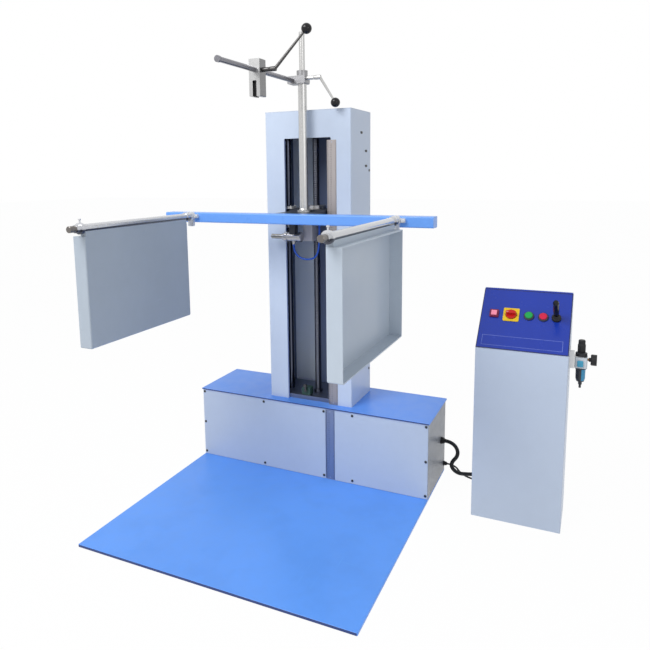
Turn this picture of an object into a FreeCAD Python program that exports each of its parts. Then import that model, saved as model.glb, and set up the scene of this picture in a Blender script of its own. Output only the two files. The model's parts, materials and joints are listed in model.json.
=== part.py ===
import FreeCAD, Part
import math
import os
from FreeCAD import Vector as V

# Twin-wing drop tester with its floor console. Millimetres, +Z up, floor at z = 0.
# The origin is under the lift screw's column: x = 0 is the machine's middle plane,
# y = 0 is half the depth of the base cabinet, -Y is the front.

# driving sizes
plate_w = 1160.0          # impact plate across the machine
plate_t = 10.0
plate_front = -1027.0
cab_d = 326.0             # base cabinet depth
cab_top = 355.0
cab_sheet = 3.0
panel_t = 2.0
lid_t = 5.0
lid_over = 5.0

col_w = 420.0             # column housing
col_front = -120.0
col_back = 130.0
col_top = 1706.0
col_sheet = 3.0
slot_w = 230.0
slot_top = 1585.0

rule_w = 44.0
rule_x = 97.0             # left edge of both rules
rule_t = 1.5

rod_x = 147.0             # guide rods left and right of the screw
rod_y = -25.0
rod_r = 17.5
screw_r = 16.0
journal_r = 12.5
run_gap = 0.05            # radial clearance of every running fit
seat_gap = 0.3            # axial clearance beside a turning shoulder
foot_t = 20.0
head_z = 1598.0

bar_z = 1237.0            # height of the crossbar's middle
bar_h = 44.0
bar_d = 60.0
bar_wall = 4.0
bar_front = -333.0
bar_half = 628.0

wing_x = 482.0            # wing hinge axis
wing_z = 1243.0
wing_r = 15.0
wing_tip = -1060.0
tray_front = -999.0
tray_back = -388.0
tray_h = 417.0
tray_d = 54.0
tray_in = 12.0            # smooth face of a tray, inward of its hinge axis
tray_sheet = 4.0
tray_top = 1213.0

air_z = 1145.0            # short air cylinder under the boom
air_y = -160.0
air_r = 23.0
air_rod_r = 11.0

tube_r = 19.0             # post on the boom
post_r = 12.5
post_top = 2030.0
tube_top = 1812.0
arm_x = -38.0
arm_z = tube_top + 16.0
arm_r = 10.0
arm_tip = -765.0
arm_end = -128.0

desk_x = 771.0            # console
desk_w = 350.0
desk_front = -187.0
desk_low = 728.0
desk_rise = 210.0
desk_cap = 20.0
desk_sheet = 2.0
face_t = 3.0
row_s = 165.0             # row of controls, measured up the slope

reg_x = 1163.0            # air filter regulator
reg_y = -100.0
reg_z = 687.0

os.makedirs("parts", exist_ok=True)


# helpers
def block(x0, x1, y0, y1, z0, z1):
    return Part.makeBox(x1 - x0, y1 - y0, z1 - z0, V(x0, y0, z0))


def bar(p, d, r, h):
    return Part.makeCylinder(r, h, V(*p), V(*d))


def turned(profile, p=(0, 0, 0), d=(0, 0, 1)):
    """Solid of revolution; profile is a closed list of (radius, height)."""
    pts = [V(r, 0, h) for r, h in profile]
    face = Part.Face(Part.makePolygon(pts + [pts[0]]))
    body = face.revolve(V(0, 0, 0), V(0, 0, 1), 360)
    turn = FreeCAD.Rotation(V(0, 0, 1), V(*d))
    body.Placement = FreeCAD.Placement(V(*p), turn)
    return body


def prism(points, start, direction):
    """Straight body over a closed outline of points."""
    pts = [V(*p) for p in points]
    face = Part.Face(Part.makePolygon(pts + [pts[0]]))
    solid = face.extrude(V(*direction))
    solid.translate(V(*start))
    return solid


def softened(shape, axis, r, pick=None):
    """Fillet the straight edges that run along axis and pass pick(midpoint)."""
    unit = V(*axis)
    chosen = []
    for e in shape.Edges:
        if not isinstance(e.Curve, (Part.Line, Part.LineSegment)):
            continue
        run = (e.Vertexes[-1].Point - e.Vertexes[0].Point)
        if run.Length < 1e-6 or abs(abs(run.normalize().dot(unit)) - 1) > 1e-6:
            continue
        mid = e.CenterOfMass
        if pick is None or pick(mid):
            chosen.append(e)
    return shape.makeFillet(r, chosen)


def joined(first, *rest):
    return first.multiFuse(list(rest)).removeSplitter()


def save(name, *solids):
    shape = solids[0] if len(solids) == 1 else Part.makeCompound(list(solids))
    shape.exportStep("parts/" + name + ".step")
    print(name, len(shape.Solids), round(shape.Volume), shape.isValid())


# screws that hold the covers
head_r = 6.0
head_h = 3.0
shank_r = 2.5
shank_len = 8.0
socket_r = 2.2
screw_list = []


def cover_screw(p, d):
    """Domed head on the sheet at p, shank going in along -d."""
    profile = [(0, -shank_len), (shank_r, -shank_len), (shank_r, 0), (head_r, 0),
               (head_r, head_h * 0.45), (head_r * 0.72, head_h), (socket_r, head_h),
               (socket_r, head_h * 0.35), (0, head_h * 0.35)]
    screw_list.append(turned(profile, p, d))


def screw_hole(p, d):
    start = V(*p) + V(*d) * 5.0
    return Part.makeCylinder(shank_r, shank_len + 10.0, start, V(*d) * -1.0)


cab_half = cab_d / 2.0
half_w = plate_w / 2.0

# impact plate
plate = block(-half_w, half_w, plate_front, cab_half, 0, plate_t)
plate = softened(plate, (0, 0, 1), 4.0)
rim = [e for e in plate.Edges if e.CenterOfMass.z > plate_t - 0.01]
save("impact_plate", plate.makeChamfer(1.0, rim))

# base cabinet
cab_front = -cab_half + panel_t
lip = 25.0
mull_x0 = rule_x - 17.0
mull_x1 = rule_x + rule_w + 17.0


def frame_ring(x0, x1, z0, z1, y0, y1, w):
    outer = block(x0, x1, y0, y1, z0, z1)
    return outer.cut(block(x0 + w, x1 - w, y0 - 1, y1 + 1, z0 + w, z1 - w))


cab_out = block(-half_w, half_w, cab_front, cab_half, plate_t, cab_top)
cab_out = softened(cab_out, (0, 0, 1), 5.0, lambda m: m.y > 0)
cab_in = block(-half_w + cab_sheet, half_w - cab_sheet, cab_front - 1, cab_half - cab_sheet,
               plate_t + cab_sheet, cab_top + 1)
cabinet = cab_out.cut(cab_in)
front_lips = frame_ring(-half_w, half_w, plate_t, cab_top, cab_front, cab_front + cab_sheet, lip)
mullion = block(mull_x0, mull_x1, cab_front, cab_front + cab_sheet, plate_t, cab_top)
top_out = block(-half_w, half_w, cab_front, cab_half, cab_top - cab_sheet, cab_top)
top_out = softened(top_out, (0, 0, 1), 5.0, lambda m: m.y > 0)
top_in = block(-half_w + lip, half_w - lip, cab_front + lip, cab_half - lip,
               cab_top - cab_sheet - 1, cab_top + 1)
cabinet = joined(cabinet, front_lips, mullion, top_out.cut(top_in))

panel_gap = 1.5
left_x0 = -half_w + 2.0
left_x1 = rule_x - panel_gap
right_x0 = rule_x + rule_w + panel_gap
right_x1 = half_w - 2.0
panel_z0 = plate_t + 2.0
panel_z1 = cab_top - 2.0


def front_panel(x0, x1):
    sheet = block(x0, x1, -cab_half, cab_front, panel_z0, panel_z1)
    return softened(sheet, (0, 1, 0), 3.0)


panel_left = front_panel(left_x0, left_x1)
panel_right = front_panel(right_x0, right_x1)
edge_in = 8.0
mid_x = 229.0
front_spots = []
for z in (panel_z0 + 14.0, 184.0, panel_z1 - 10.0):
    front_spots.append((left_x0 + edge_in, z))
    front_spots.append((right_x1 - edge_in, z))
for z in (panel_z0 + 14.0, panel_z1 - 14.0):
    front_spots.append((-mid_x, z))
    front_spots.append((mid_x, z))
    front_spots.append((left_x1 - edge_in, z))
for x, z in front_spots:
    spot = (x, -cab_half, z)
    cover_screw(spot, (0, -1, 0))
    hole = screw_hole(spot, (0, -1, 0))
    panel_left = panel_left.cut(hole)
    panel_right = panel_right.cut(hole)
    cabinet = cabinet.cut(hole)

plug_y = 79.0
plug_z = 186.0
cord_y = 140.0
cord_z = 45.0
conduit_r = 9.0
cord_r = 4.0
cabinet = cabinet.cut(bar((half_w - 20, plug_y, plug_z), (1, 0, 0), conduit_r + 2.0, 40))
cabinet = cabinet.cut(bar((half_w - 20, cord_y, cord_z), (1, 0, 0), cord_r + 2.0, 40))
save("base_cabinet", cabinet)
save("front_panel_left", panel_left)
save("front_panel_right", panel_right)

lid_x = half_w + lid_over
lid_y = cab_half + lid_over
lid_z = cab_top + lid_t
lid = block(-lid_x, lid_x, -lid_y, lid_y, cab_top, lid_z)
lid = softened(lid, (0, 0, 1), 5.0)
lid = lid.cut(bar((0, rod_y, cab_top - 1), (0, 0, 1), 24.0, lid_t + 2))
rim = [e for e in lid.Edges if e.CenterOfMass.z > lid_z - 0.01 and e.Length > 100]
save("base_lid", lid.makeChamfer(1.0, rim))


def rule(y_back, z0, z1):
    """Flat steel rule with a notched edge and two end holes."""
    strip = block(rule_x, rule_x + rule_w, y_back - rule_t, y_back, z0, z1)
    strip = softened(strip, (0, 1, 0), 2.0)
    for z in (z0 + 9.0, z1 - 9.0):
        strip = strip.cut(bar((rule_x + rule_w / 2, y_back + 1, z), (0, -1, 0), 2.5, 6))
    return strip


save("base_rule", rule(cab_front, plate_t + 2.0, cab_top - 5.0))

# column
half_c = col_w / 2.0
half_s = slot_w / 2.0
bend = 5.0
hem = 12.0
back_in = col_back - col_sheet
shell_out = block(-half_c, half_c, col_front, back_in, lid_z, col_top - col_sheet)
shell_out = softened(shell_out, (0, 0, 1), bend, lambda m: m.y < 0)
shell_in = block(-half_c + col_sheet, half_c - col_sheet, col_front + col_sheet, back_in + 1,
                 lid_z - 1, col_top)
shell_in = softened(shell_in, (0, 0, 1), bend - col_sheet, lambda m: m.y < 0)
shell = shell_out.cut(shell_in)
slot = block(-half_s, half_s, col_front - 1, col_front + col_sheet + 1, lid_z - 1, slot_top)
slot = softened(slot, (0, 1, 0), 6.0, lambda m: m.z > slot_top - 1)
shell = shell.cut(slot)
for side in (-1, 1):
    x0 = side * half_s
    x1 = side * (half_s + col_sheet)
    flange = block(min(x0, x1), max(x0, x1), col_front + col_sheet - 0.5,
                   col_front + hem, lid_z, slot_top - 6.0)
    shell = joined(shell, flange)

back = block(-half_c, half_c, back_in, col_back, lid_z, col_top)
cap = block(-half_c, half_c, col_front, col_back, col_top - col_sheet, col_top)
back = joined(back, cap)
for side in (-1, 1):
    x0 = side * (half_c - 2 * col_sheet)
    x1 = side * (half_c - col_sheet)
    back = joined(back, block(min(x0, x1), max(x0, x1), back_in - 27.0, back_in + 0.5,
                              lid_z, col_top - col_sheet))
back = softened(back, (1, 0, 0), 3.0, lambda m: m.z > col_top - 1 and m.y > col_back - 1)

for side in (-1, 1):
    for y, z in ((11.0, head_z + 10.0), (71.0, 1528.0), (71.0, 1460.0)):
        spot = (side * half_c, y, z)
        cover_screw(spot, (side, 0, 0))
        shell = shell.cut(screw_hole(spot, (side, 0, 0)))
    for z in (480.0, 800.0, 1120.0, 1440.0):
        spot = (side * half_c, back_in - 14.0, z)
        cover_screw(spot, (side, 0, 0))
        hole = screw_hole(spot, (side, 0, 0))
        shell = shell.cut(hole)
        back = back.cut(hole)
save("column_shell", shell)
save("column_back", back)
save("column_rule", rule(col_front, lid_z + 1.0, slot_top - 12.0))

# foot and head plates, guide rods, lift screw
in_x = half_c - col_sheet


def rod_plate(y0, y1, z0):
    plate_body = block(-in_x, in_x, y0, y1, z0, z0 + foot_t)
    for x, r in ((-rod_x, rod_r), (rod_x, rod_r), (0.0, journal_r + run_gap)):
        plate_body = plate_body.cut(bar((x, rod_y, z0 - 1), (0, 0, 1), r, foot_t + 2))
    return plate_body


foot_y0 = col_front + hem + 1.0
foot_y1 = back_in - 28.0
foot = rod_plate(foot_y0, foot_y1, lid_z)
head = rod_plate(foot_y0, foot_y1, head_z)
for side in (-1, 1):
    hole = screw_hole((side * half_c, 11.0, head_z + 10.0), (side, 0, 0))
    head = head.cut(hole)
save("rod_foot", foot)
save("rod_head", head)
save("guide_rods", *[bar((x, rod_y, lid_z), (0, 0, 1), rod_r, head_z + foot_t - lid_z)
                     for x in (-rod_x, rod_x)])
foot_top = lid_z + foot_t
screw_low = foot_top + 12.0
screw_high = head_z - 10.0
gear_z0 = cab_top - 90.0
save("lead_screw", turned([
    (0, gear_z0 + 15), (journal_r, gear_z0 + 15), (journal_r, foot_top + seat_gap),
    (21.0, foot_top + seat_gap), (21.0, screw_low), (screw_r, screw_low),
    (screw_r, screw_high), (journal_r, screw_high), (journal_r, head_z + foot_t - 2),
    (0, head_z + foot_t - 2),
], (0, rod_y, 0)))

# worm gearmotor under the lid
gear_h = 60.0
gearbox = block(-gear_h, gear_h, rod_y - gear_h, rod_y + gear_h, gear_z0, cab_top)
gearbox = softened(gearbox, (0, 0, 1), 14.0)
motor_r = 42.0
motor_z = gear_z0 + 40.0
motor = turned([(0, 0), (36, 0), (36, 22), (motor_r, 22), (motor_r, 190), (motor_r - 5, 196),
                (motor_r - 5, 232), (motor_r - 15, 240), (0, 240)],
               (gear_h - 0.5, rod_y, motor_z), (1, 0, 0))
term_len = 70.0
terminal = block(2 * gear_h, 2 * gear_h + term_len, rod_y - 30, rod_y + 30,
                 motor_z - term_len, motor_z - 30)
gearmotor = joined(gearbox, motor, terminal)
gearmotor = gearmotor.cut(bar((0, rod_y, gear_z0 - 1), (0, 0, 1), journal_r + run_gap, 95))
save("lift_motor", gearmotor)

# lower limit switch
lim_w = 44.0
lim_d = 34.0
lim_h = 36.0
lim_x0 = -54.0
lim_y0 = -98.0
lim_piv = (lim_x0 + lim_w / 2, lim_y0, foot_top + lim_h - 12.0)
lim = block(lim_x0, lim_x0 + lim_w, lim_y0, lim_y0 + lim_d, foot_top, foot_top + lim_h)
lim = softened(lim, (0, 1, 0), 4.0)
lim = joined(lim, bar((lim_piv[0], lim_y0, lim_piv[2]), (0, -1, 0), 9.0, 5.0))
lim = lim.cut(bar((lim_piv[0], lim_y0 - 6, lim_piv[2]), (0, 1, 0), 4.0 + run_gap, 20.0))
save("limit_switch", lim)
lev_y = lim_y0 - 5.0 - seat_gap
lever = bar((lim_piv[0], lev_y, lim_piv[2]), (0, -1, 0), 7.0, 4.0)
lever_len = 24.0
lever = joined(lever, block(lim_piv[0] - 4, lim_piv[0] + 4, lev_y - 4, lev_y,
                            lim_piv[2], lim_piv[2] + lever_len))
lever = joined(lever, bar((lim_piv[0], lev_y, lim_piv[2] + lever_len), (0, -1, 0), 8.0, 8.0))
lever = joined(lever, bar((lim_piv[0], lev_y - 1, lim_piv[2]), (0, 1, 0), 4.0, 18.0))
save("limit_lever", lever)

# carriage
bar_back = bar_front + bar_d
bar_low = bar_z - bar_h / 2
bar_top = bar_z + bar_h / 2
car_t = 20.0
car_z1 = bar_top + 7.0
car_z0 = car_z1 - car_t
neck_x = 90.0
brk_t = 12.0
brk_back = -118.0
brk_front = brk_back - brk_t
car = block(-187.0, 187.0, rod_y - 50.0, rod_y + 50.0, car_z0, car_z1)
car = softened(car, (0, 0, 1), 10.0)
car = joined(car, block(-neck_x, neck_x, brk_back, rod_y - 49.0, car_z0, car_z1))
bush_r = 26.0
nut_r = 25.0
for x, r in ((-rod_x, bush_r), (rod_x, bush_r), (0.0, nut_r)):
    car = car.cut(bar((x, rod_y, car_z0 - 1), (0, 0, 1), r, car_t + 2))
rod_bore = rod_r + run_gap
bush_len = 90.0


def flanged_bush(x, outer, flange, bore, below, above):
    """Flanged sleeve seated on the carriage plate."""
    return turned([(bore, car_z1 - below), (outer, car_z1 - below), (outer, car_z1),
                   (flange, car_z1), (flange, car_z1 + above), (bore, car_z1 + above)],
                  (x, rod_y, 0))


bushes = []
for x in (-rod_x, rod_x):
    sleeve = flanged_bush(x, bush_r, 38.0, rod_bore, bush_len, 10.0)
    for k in range(4):
        a = math.radians(45 + 90 * k)
        bolt = turned([(0, 0), (4.5, 0), (4.5, 5), (2.5, 5), (2.5, 2), (0, 2)],
                      (x + 32 * math.cos(a), rod_y + 32 * math.sin(a), car_z1 + 10.0))
        sleeve = joined(sleeve, bolt)
    bushes.append(sleeve)
save("carriage_bearings", *bushes)
nut = flanged_bush(0.0, nut_r, 46.0, screw_r + run_gap, 60.0, 16.0)
for k in range(6):
    a = math.radians(60 * k)
    nut = nut.cut(bar((36 * math.cos(a), rod_y + 36 * math.sin(a), car_z1 + 8), (0, 0, 1), 4.5, 10))
save("screw_nut", nut)
save("carriage_plate", car)

rib_half = 23.0
rib_z0 = 1124.0
rib_front = -126.0
boom_wall = 6.0
bracket = block(-neck_x, neck_x, brk_front, brk_back, bar_low, car_z1)
bracket = softened(bracket, (0, 1, 0), 6.0)
boom = block(-neck_x, neck_x, bar_back, brk_front + 1, bar_low, bar_top)
boom = softened(boom, (0, 1, 0), 6.0)
boom_core = block(-neck_x + boom_wall, neck_x - boom_wall, bar_back - 1, brk_front,
                  bar_low + boom_wall, bar_top - boom_wall)
rib = prism([(0, rib_front, rib_z0), (0, rib_front, car_z0), (0, rod_y - 32, car_z0),
             (0, rod_y - 32, rib_z0 + 40), (0, rod_y - 52, rib_z0)], (-rib_half, 0, 0),
            (2 * rib_half, 0, 0))
save("bar_bracket", joined(bracket, boom, rib).cut(boom_core))


# crossbar
beam = block(-bar_half, bar_half, bar_front, bar_back, bar_low, bar_top)
beam = softened(beam, (1, 0, 0), 6.0)
core = block(-bar_half + bar_wall, bar_half - bar_wall, bar_front + bar_wall,
             bar_back - bar_wall, bar_low + bar_wall, bar_top - bar_wall)
core = softened(core, (1, 0, 0), 2.0)
save("crossbar", beam.cut(core))

# wing bearing housings
hub_len = 30.0
hub_r = 20.0
hub_front = bar_front - hub_len
flange_t = 14.0
lip_x = 38.0
stem_x = 14.0
bolt_x = 29.0


def housing(x):
    """T-shaped flange on the crossbar's face with a round hub bored for the wing shaft."""
    lip_low = wing_z - 8.0
    lip_high = wing_z + 9.0
    stem_low = wing_z - 45.0
    body = prism([(x - stem_x, 0, stem_low), (x + stem_x, 0, stem_low), (x + stem_x, 0, lip_low),
                  (x + lip_x, 0, lip_low), (x + lip_x, 0, lip_high), (x - lip_x, 0, lip_high),
                  (x - lip_x, 0, lip_low), (x - stem_x, 0, lip_low)],
                 (0, bar_front - flange_t, 0), (0, flange_t, 0))
    body = softened(body, (0, 1, 0), 4.0, lambda m: abs(m.x - x) > lip_x - 1 or m.z < stem_low + 1)
    body = joined(body, bar((x, hub_front, wing_z), (0, 1, 0), hub_r, hub_len))
    for s in (-1, 1):
        body = joined(body, bar((x + s * bolt_x, bar_front - flange_t + 1, wing_z), (0, -1, 0), 5.5, 7.0))
    return body.cut(bar((x, hub_front - 1, wing_z), (0, 1, 0), wing_r + run_gap, hub_len + 2))


save("wing_housings", housing(-wing_x), housing(wing_x))


# wings
nose_r = 12.0
nose_len = 30.0
collar_r = 21.0
collar_len = 13.0
rear_r = 19.0


def wing_shaft(x):
    """Stepped shaft: slim nose, a collar at each end of the tray, journal in the housing."""
    rear = tray_back + seat_gap
    steps = [(0, -wing_tip), (nose_r - 2, -wing_tip), (nose_r, -wing_tip - 2),
             (nose_r, -wing_tip - nose_len), (wing_r, -wing_tip - nose_len),
             (wing_r, -tray_front + collar_len), (collar_r, -tray_front + collar_len),
             (collar_r, -tray_front + seat_gap), (wing_r, -tray_front + seat_gap),
             (wing_r, -rear), (rear_r, -rear), (rear_r, -hub_front + 1), (wing_r, -hub_front + 1),
             (wing_r, -bar_front + 2), (0, -bar_front + 2)]
    shaft = turned(steps, (x, 0, wing_z), (0, -1, 0))
    pin = turned([(0, nose_r), (3, nose_r), (3, collar_r + 9), (5, collar_r + 9),
                  (5, collar_r + 14), (0, collar_r + 14)],
                 (x, tray_front - collar_len / 2, wing_z))
    return joined(shaft, pin)


def wing_tray(x, inward):
    """Sheet tray hanging from the shaft; its smooth face looks inward."""
    x_face = x + inward * tray_in
    x_open = x_face - inward * tray_d
    lo, hi = min(x_face, x_open), max(x_face, x_open)
    z0 = tray_top - tray_h
    outer = block(lo, hi, tray_front, tray_back, z0, tray_top)
    outer = softened(outer, (0, 1, 0), 6.0, lambda m: abs(m.x - x_face) < 1 and m.z < tray_top - 1)
    outer = softened(outer, (0, 0, 1), 6.0, lambda m: abs(m.x - x_face) < 1)
    s = tray_sheet
    cut_lo = lo + s if inward < 0 else lo - 1
    cut_hi = hi + 1 if inward < 0 else hi - s
    inner = block(cut_lo, cut_hi, tray_front + s, tray_back - s, z0 + s, tray_top - s)
    tray = outer.cut(inner)
    saddle_top = wing_z - 10.5
    saddle = block(x - tray_in, x + tray_in, tray_front + 6, tray_back - 6, tray_top - 1, saddle_top)
    groove = bar((x, tray_front - 1, wing_z), (0, 1, 0), wing_r, tray_back - tray_front + 2)
    return joined(tray, saddle).cut(groove)


for name, x, inward in (("left", -wing_x, 1), ("right", wing_x, -1)):
    save("wing_shaft_" + name, wing_shaft(x))
    save("wing_tray_" + name, wing_tray(x, inward))

# air cylinder under the boom
cyl_in = 12.0             # inner end of the barrel, from the middle plane
port_x = 54.0
rod_reach = 166.0
barrel = turned([(0, 0), (air_r - 3, 0), (air_r, 3), (air_r, 14), (air_r - 3, 16),
                 (air_r - 3, 68), (air_r, 70), (air_r, 84), (15, 84), (15, 97), (12, 99),
                 (0, 99)], (-cyl_in, air_y, air_z), (-1, 0, 0))
barrel = barrel.cut(bar((-cyl_in - 9, air_y, air_z), (-1, 0, 0), air_rod_r + run_gap, 100))
port = turned([(0, 0), (8, 0), (8, 8), (6, 9), (6, 16), (0, 16)],
              (-port_x, air_y, air_z - air_r + 5), (0, 0, -1))
save("air_cylinder", joined(barrel, port))
rod_len = 110.0
save("air_rod", turned([(0, 0), (air_rod_r, 0), (air_rod_r, rod_len - 2), (air_rod_r - 2, rod_len),
                        (0, rod_len)], (rod_len - rod_reach, air_y, air_z), (-1, 0, 0)))
hang_t = 6.0
hang_y = 20.0
web_half = 14.0
hanger = block(-neck_x + 8, -cyl_in, air_y - hang_y, air_y + hang_y, bar_low - hang_t, bar_low)
hanger = joined(hanger, block(-port_x - web_half, -port_x + web_half, air_y - hang_y + 4,
                              air_y + hang_y - 4, air_z, bar_low - 1))
hanger = hanger.cut(bar((0, air_y, air_z), (-1, 0, 0), air_r - 3, 120))
save("cylinder_hanger", softened(hanger, (0, 0, 1), 3.0, lambda m: m.z > bar_low - hang_t - 1))
fit_x = 74.0              # elbow of the air tube under the boom
fit_len = 16.0
save("tube_fitting", turned([(0, 0), (8, 0), (8, 8), (6, 9), (6, fit_len), (0, fit_len)],
                            (fit_x, air_y, bar_low), (0, 0, -1)))


# cords
def cord(points, r):
    """Round cord along straight runs joined by tangent arcs."""
    pts = [V(*p) for p in points]
    edges = []
    at = pts[0]
    radii = []
    for a, b, c in zip(pts, pts[1:], pts[2:]):
        u = (b - a).normalize()
        w = (c - b).normalize()
        turn = u.getAngle(w)
        run = min((b - a).Length, (c - b).Length)
        radius = 0.45 * run / math.tan(turn / 2)
        radii.append(round(radius, 1))
        back_off = radius * math.tan(turn / 2)
        p0 = b - u * back_off
        p1 = b + w * back_off
        mid_dir = (w - u).normalize()
        centre = b + mid_dir * (radius / math.cos(turn / 2))
        p_mid = centre - mid_dir * radius
        edges.append(Part.LineSegment(at, p0).toShape())
        edges.append(Part.Arc(p0, p_mid, p1).toShape())
        at = p1
    edges.append(Part.LineSegment(at, pts[-1]).toShape())
    path = Part.Wire(edges)
    first = (pts[1] - pts[0]).normalize()
    circle = Part.Circle(pts[0], first, r)
    section = Part.Wire([circle.toShape()])
    tube = path.makePipeShell([section], True, False)
    print("cord radii", radii, "volume", round(tube.Volume), "section x length",
          round(math.pi * r * r * path.Length), "length", round(path.Length, 1))
    return tube


port_z = air_z - air_r + 5 - 16
save("air_tube", cord([(-port_x, air_y, port_z), (-port_x, air_y, port_z - 27),
                       (-port_x + 22, air_y, port_z - 57), (14, air_y, port_z - 69),
                       (fit_x - 16, air_y, port_z - 55), (fit_x, air_y, port_z - 3),
                       (fit_x, air_y, bar_low - fit_len)], 4.0))
gland_len = 18.0
desk_plug_x = 880.0
desk_plug_z = 40.0
desk_cord_x = 840.0
desk_cord_z = 30.0
desk_back = desk_front + desk_rise + desk_cap
out_x = half_w + gland_len
in_desk = desk_back + gland_len
save("conduit", cord([(out_x, plug_y, plug_z), (out_x + 40, plug_y, plug_z),
                      (out_x + 70, plug_y, plug_z - 54), (out_x + 24, plug_y + 2, plug_z - 112),
                      (out_x + 54, plug_y + 7, plug_z - 152), (out_x + 102, plug_y + 29, plug_z - 160),
                      (desk_plug_x - 100, plug_y + 71, desk_plug_z - 15),
                      (desk_plug_x, in_desk + 94, desk_plug_z),
                      (desk_plug_x, in_desk, desk_plug_z)], conduit_r))
save("power_cable", cord([(out_x, cord_y, cord_z), (out_x + 37, cord_y, cord_z),
                          (out_x + 67, cord_y - 8, cord_z - 33), (out_x + 122, cord_y - 30, 6.0),
                          (desk_cord_x - 60, cord_y - 28, 8.0), (desk_cord_x, in_desk + 57, desk_cord_z),
                          (desk_cord_x, in_desk, desk_cord_z)], cord_r))


def gland(p, d, r):
    """Cable gland: hex-like collar, domed nut and a bored end face."""
    return turned([(0, 0), (r + 7, 0), (r + 7, 6), (r + 5, 7), (r + 5, 13), (r + 2, gland_len),
                   (0, gland_len)], p, d)


save("cable_glands",
     gland((half_w, plug_y, plug_z), (1, 0, 0), conduit_r),
     gland((half_w, cord_y, cord_z), (1, 0, 0), cord_r),
     gland((desk_plug_x, desk_back, desk_plug_z), (0, 1, 0), conduit_r),
     gland((desk_cord_x, desk_back, desk_cord_z), (0, 1, 0), cord_r))

# post, clamp, hold-down arm
bore = post_r + run_gap
flange_r = brk_front - air_y - seat_gap
save("post_tube", turned([(bore, bar_top), (flange_r, bar_top), (flange_r, bar_top + 7),
                          (tube_r + 3, bar_top + 9), (tube_r, bar_top + 16), (tube_r, tube_top),
                          (bore, tube_top)], (0, air_y, 0)))
rod_low = bar_top + 60.0
save("post_rod", turned([(0, rod_low), (post_r, rod_low), (post_r, post_top - 2),
                         (post_r - 2, post_top), (0, post_top)], (0, air_y, 0)))

clamp_z0 = tube_top + seat_gap
step_z = arm_z + 18.0
clamp_z1 = clamp_z0 + 56.0
lower = block(arm_x - 22, 24, air_y - 26, air_y + 26, clamp_z0, step_z)
lower = softened(lower, (0, 1, 0), 6.0)
upper = bar((0, air_y, step_z - 12), (0, 0, 1), 24.0, clamp_z1 - step_z + 12)
clamp = joined(lower, upper)
clamp = clamp.cut(bar((0, air_y, clamp_z0 - 1), (0, 0, 1), bore, 80))
arm_bore = arm_r + run_gap
clamp = clamp.cut(bar((arm_x, air_y - 30, arm_z), (0, 1, 0), arm_bore, 60))
screw_z = clamp_z0 + 24.0
stud_r = 5.0
clamp = clamp.cut(bar((13, air_y, screw_z), (1, 0, 0), stud_r + run_gap, 20))
save("cross_clamp", clamp)

arm_rod = turned([(0, 0), (arm_r + 2, 0), (arm_r + 2, 12), (arm_r, 12), (arm_r, arm_end - arm_tip - 1),
                  (arm_r - 1, arm_end - arm_tip), (0, arm_end - arm_tip)],
                 (arm_x, arm_tip, arm_z), (0, 1, 0))
save("hold_arm", arm_rod)

blk_y0 = arm_tip + 257.0
blk_y1 = blk_y0 + 48.0
blk_z0 = arm_z - 101.0
blk_z1 = arm_z + 41.0
blk_half = 24.0
foot_slot = 17.0
foot_slot_h = 60.0
blk = block(arm_x - blk_half, arm_x + blk_half, blk_y0, blk_y1, blk_z0, blk_z1)
blk = softened(blk, (0, 1, 0), 3.0)
blk = blk.cut(bar((arm_x, blk_y0 - 1, arm_z), (0, 1, 0), arm_bore, 60))
notch = block(arm_x - foot_slot / 2, arm_x + foot_slot / 2, blk_y0 - 1, blk_y1 + 1,
              blk_z0 - 1, blk_z0 + foot_slot_h)
notch = softened(notch, (0, 1, 0), 3.0, lambda m: m.z > blk_z0 + foot_slot_h - 1)
blk = blk.cut(notch)
blk_mid = (blk_y0 + blk_y1) / 2
blk = blk.cut(bar((arm_x + 12, blk_mid, arm_z), (1, 0, 0), stud_r + run_gap, 20))
save("arm_block", blk)


def clamp_lever(root, tip, knob, face_x):
    """Threaded stud, tapered hub, slanted handle and a ball knob."""
    x0, y0, z0 = root
    reach = tip[0] - face_x
    stud = turned([(0, 0), (stud_r, 0), (stud_r, face_x + seat_gap - x0),
                   (9, face_x + seat_gap - x0), (8, face_x - x0 + reach * 0.5),
                   (9.5, face_x - x0 + reach * 0.7), (9.5, tip[0] - x0 + 4), (0, tip[0] - x0 + 6)],
                  root, (1, 0, 0))
    a = V(*tip)
    b = V(*knob)
    run = (b - a)
    length = run.Length
    way = (run.x / length, run.y / length, run.z / length)
    handle = turned([(0, 0), (6.5, 0), (4.5, length - 10), (0, length - 10)], tip, way)
    ball = Part.makeSphere(ball_r, b)
    return joined(stud, handle, ball)


ball_r = 20.0
clamp_ball = (150.0, air_y + 12.0, arm_z - 100.0)
block_ball = (160.0, blk_mid + 34.0, arm_z + 142.0)
save("clamp_lever", clamp_lever((13.5, air_y, screw_z), (84.0, air_y, screw_z), clamp_ball, 24.0))
save("block_lever", clamp_lever((arm_x + 12.5, blk_mid, arm_z), (40.0, blk_mid, arm_z),
                                block_ball, arm_x + blk_half))

# console
slope_len = desk_rise * math.sqrt(2)
desk_x1 = desk_x + desk_w
cap_y = desk_front + desk_rise
top_z = desk_low + desk_rise
sunk = face_t * math.sqrt(2)


def desk_outline(x, inset):
    k = inset * math.tan(math.radians(22.5))
    return [(x, desk_front + inset, inset if inset else 0), (x, desk_back - inset, inset if inset else 0),
            (x, desk_back - inset, top_z - sunk - inset), (x, cap_y - k, top_z - sunk - inset),
            (x, desk_front + inset, desk_low - sunk - k)]


desk = prism(desk_outline(0, 0), (desk_x, 0, 0), (desk_w, 0, 0))
desk = softened(desk, (0, 0, 1), 4.0)
hollow = prism(desk_outline(0, desk_sheet), (desk_x + desk_sheet, 0, 0), (desk_w - 2 * desk_sheet, 0, 0))
desk = desk.cut(hollow)

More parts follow.
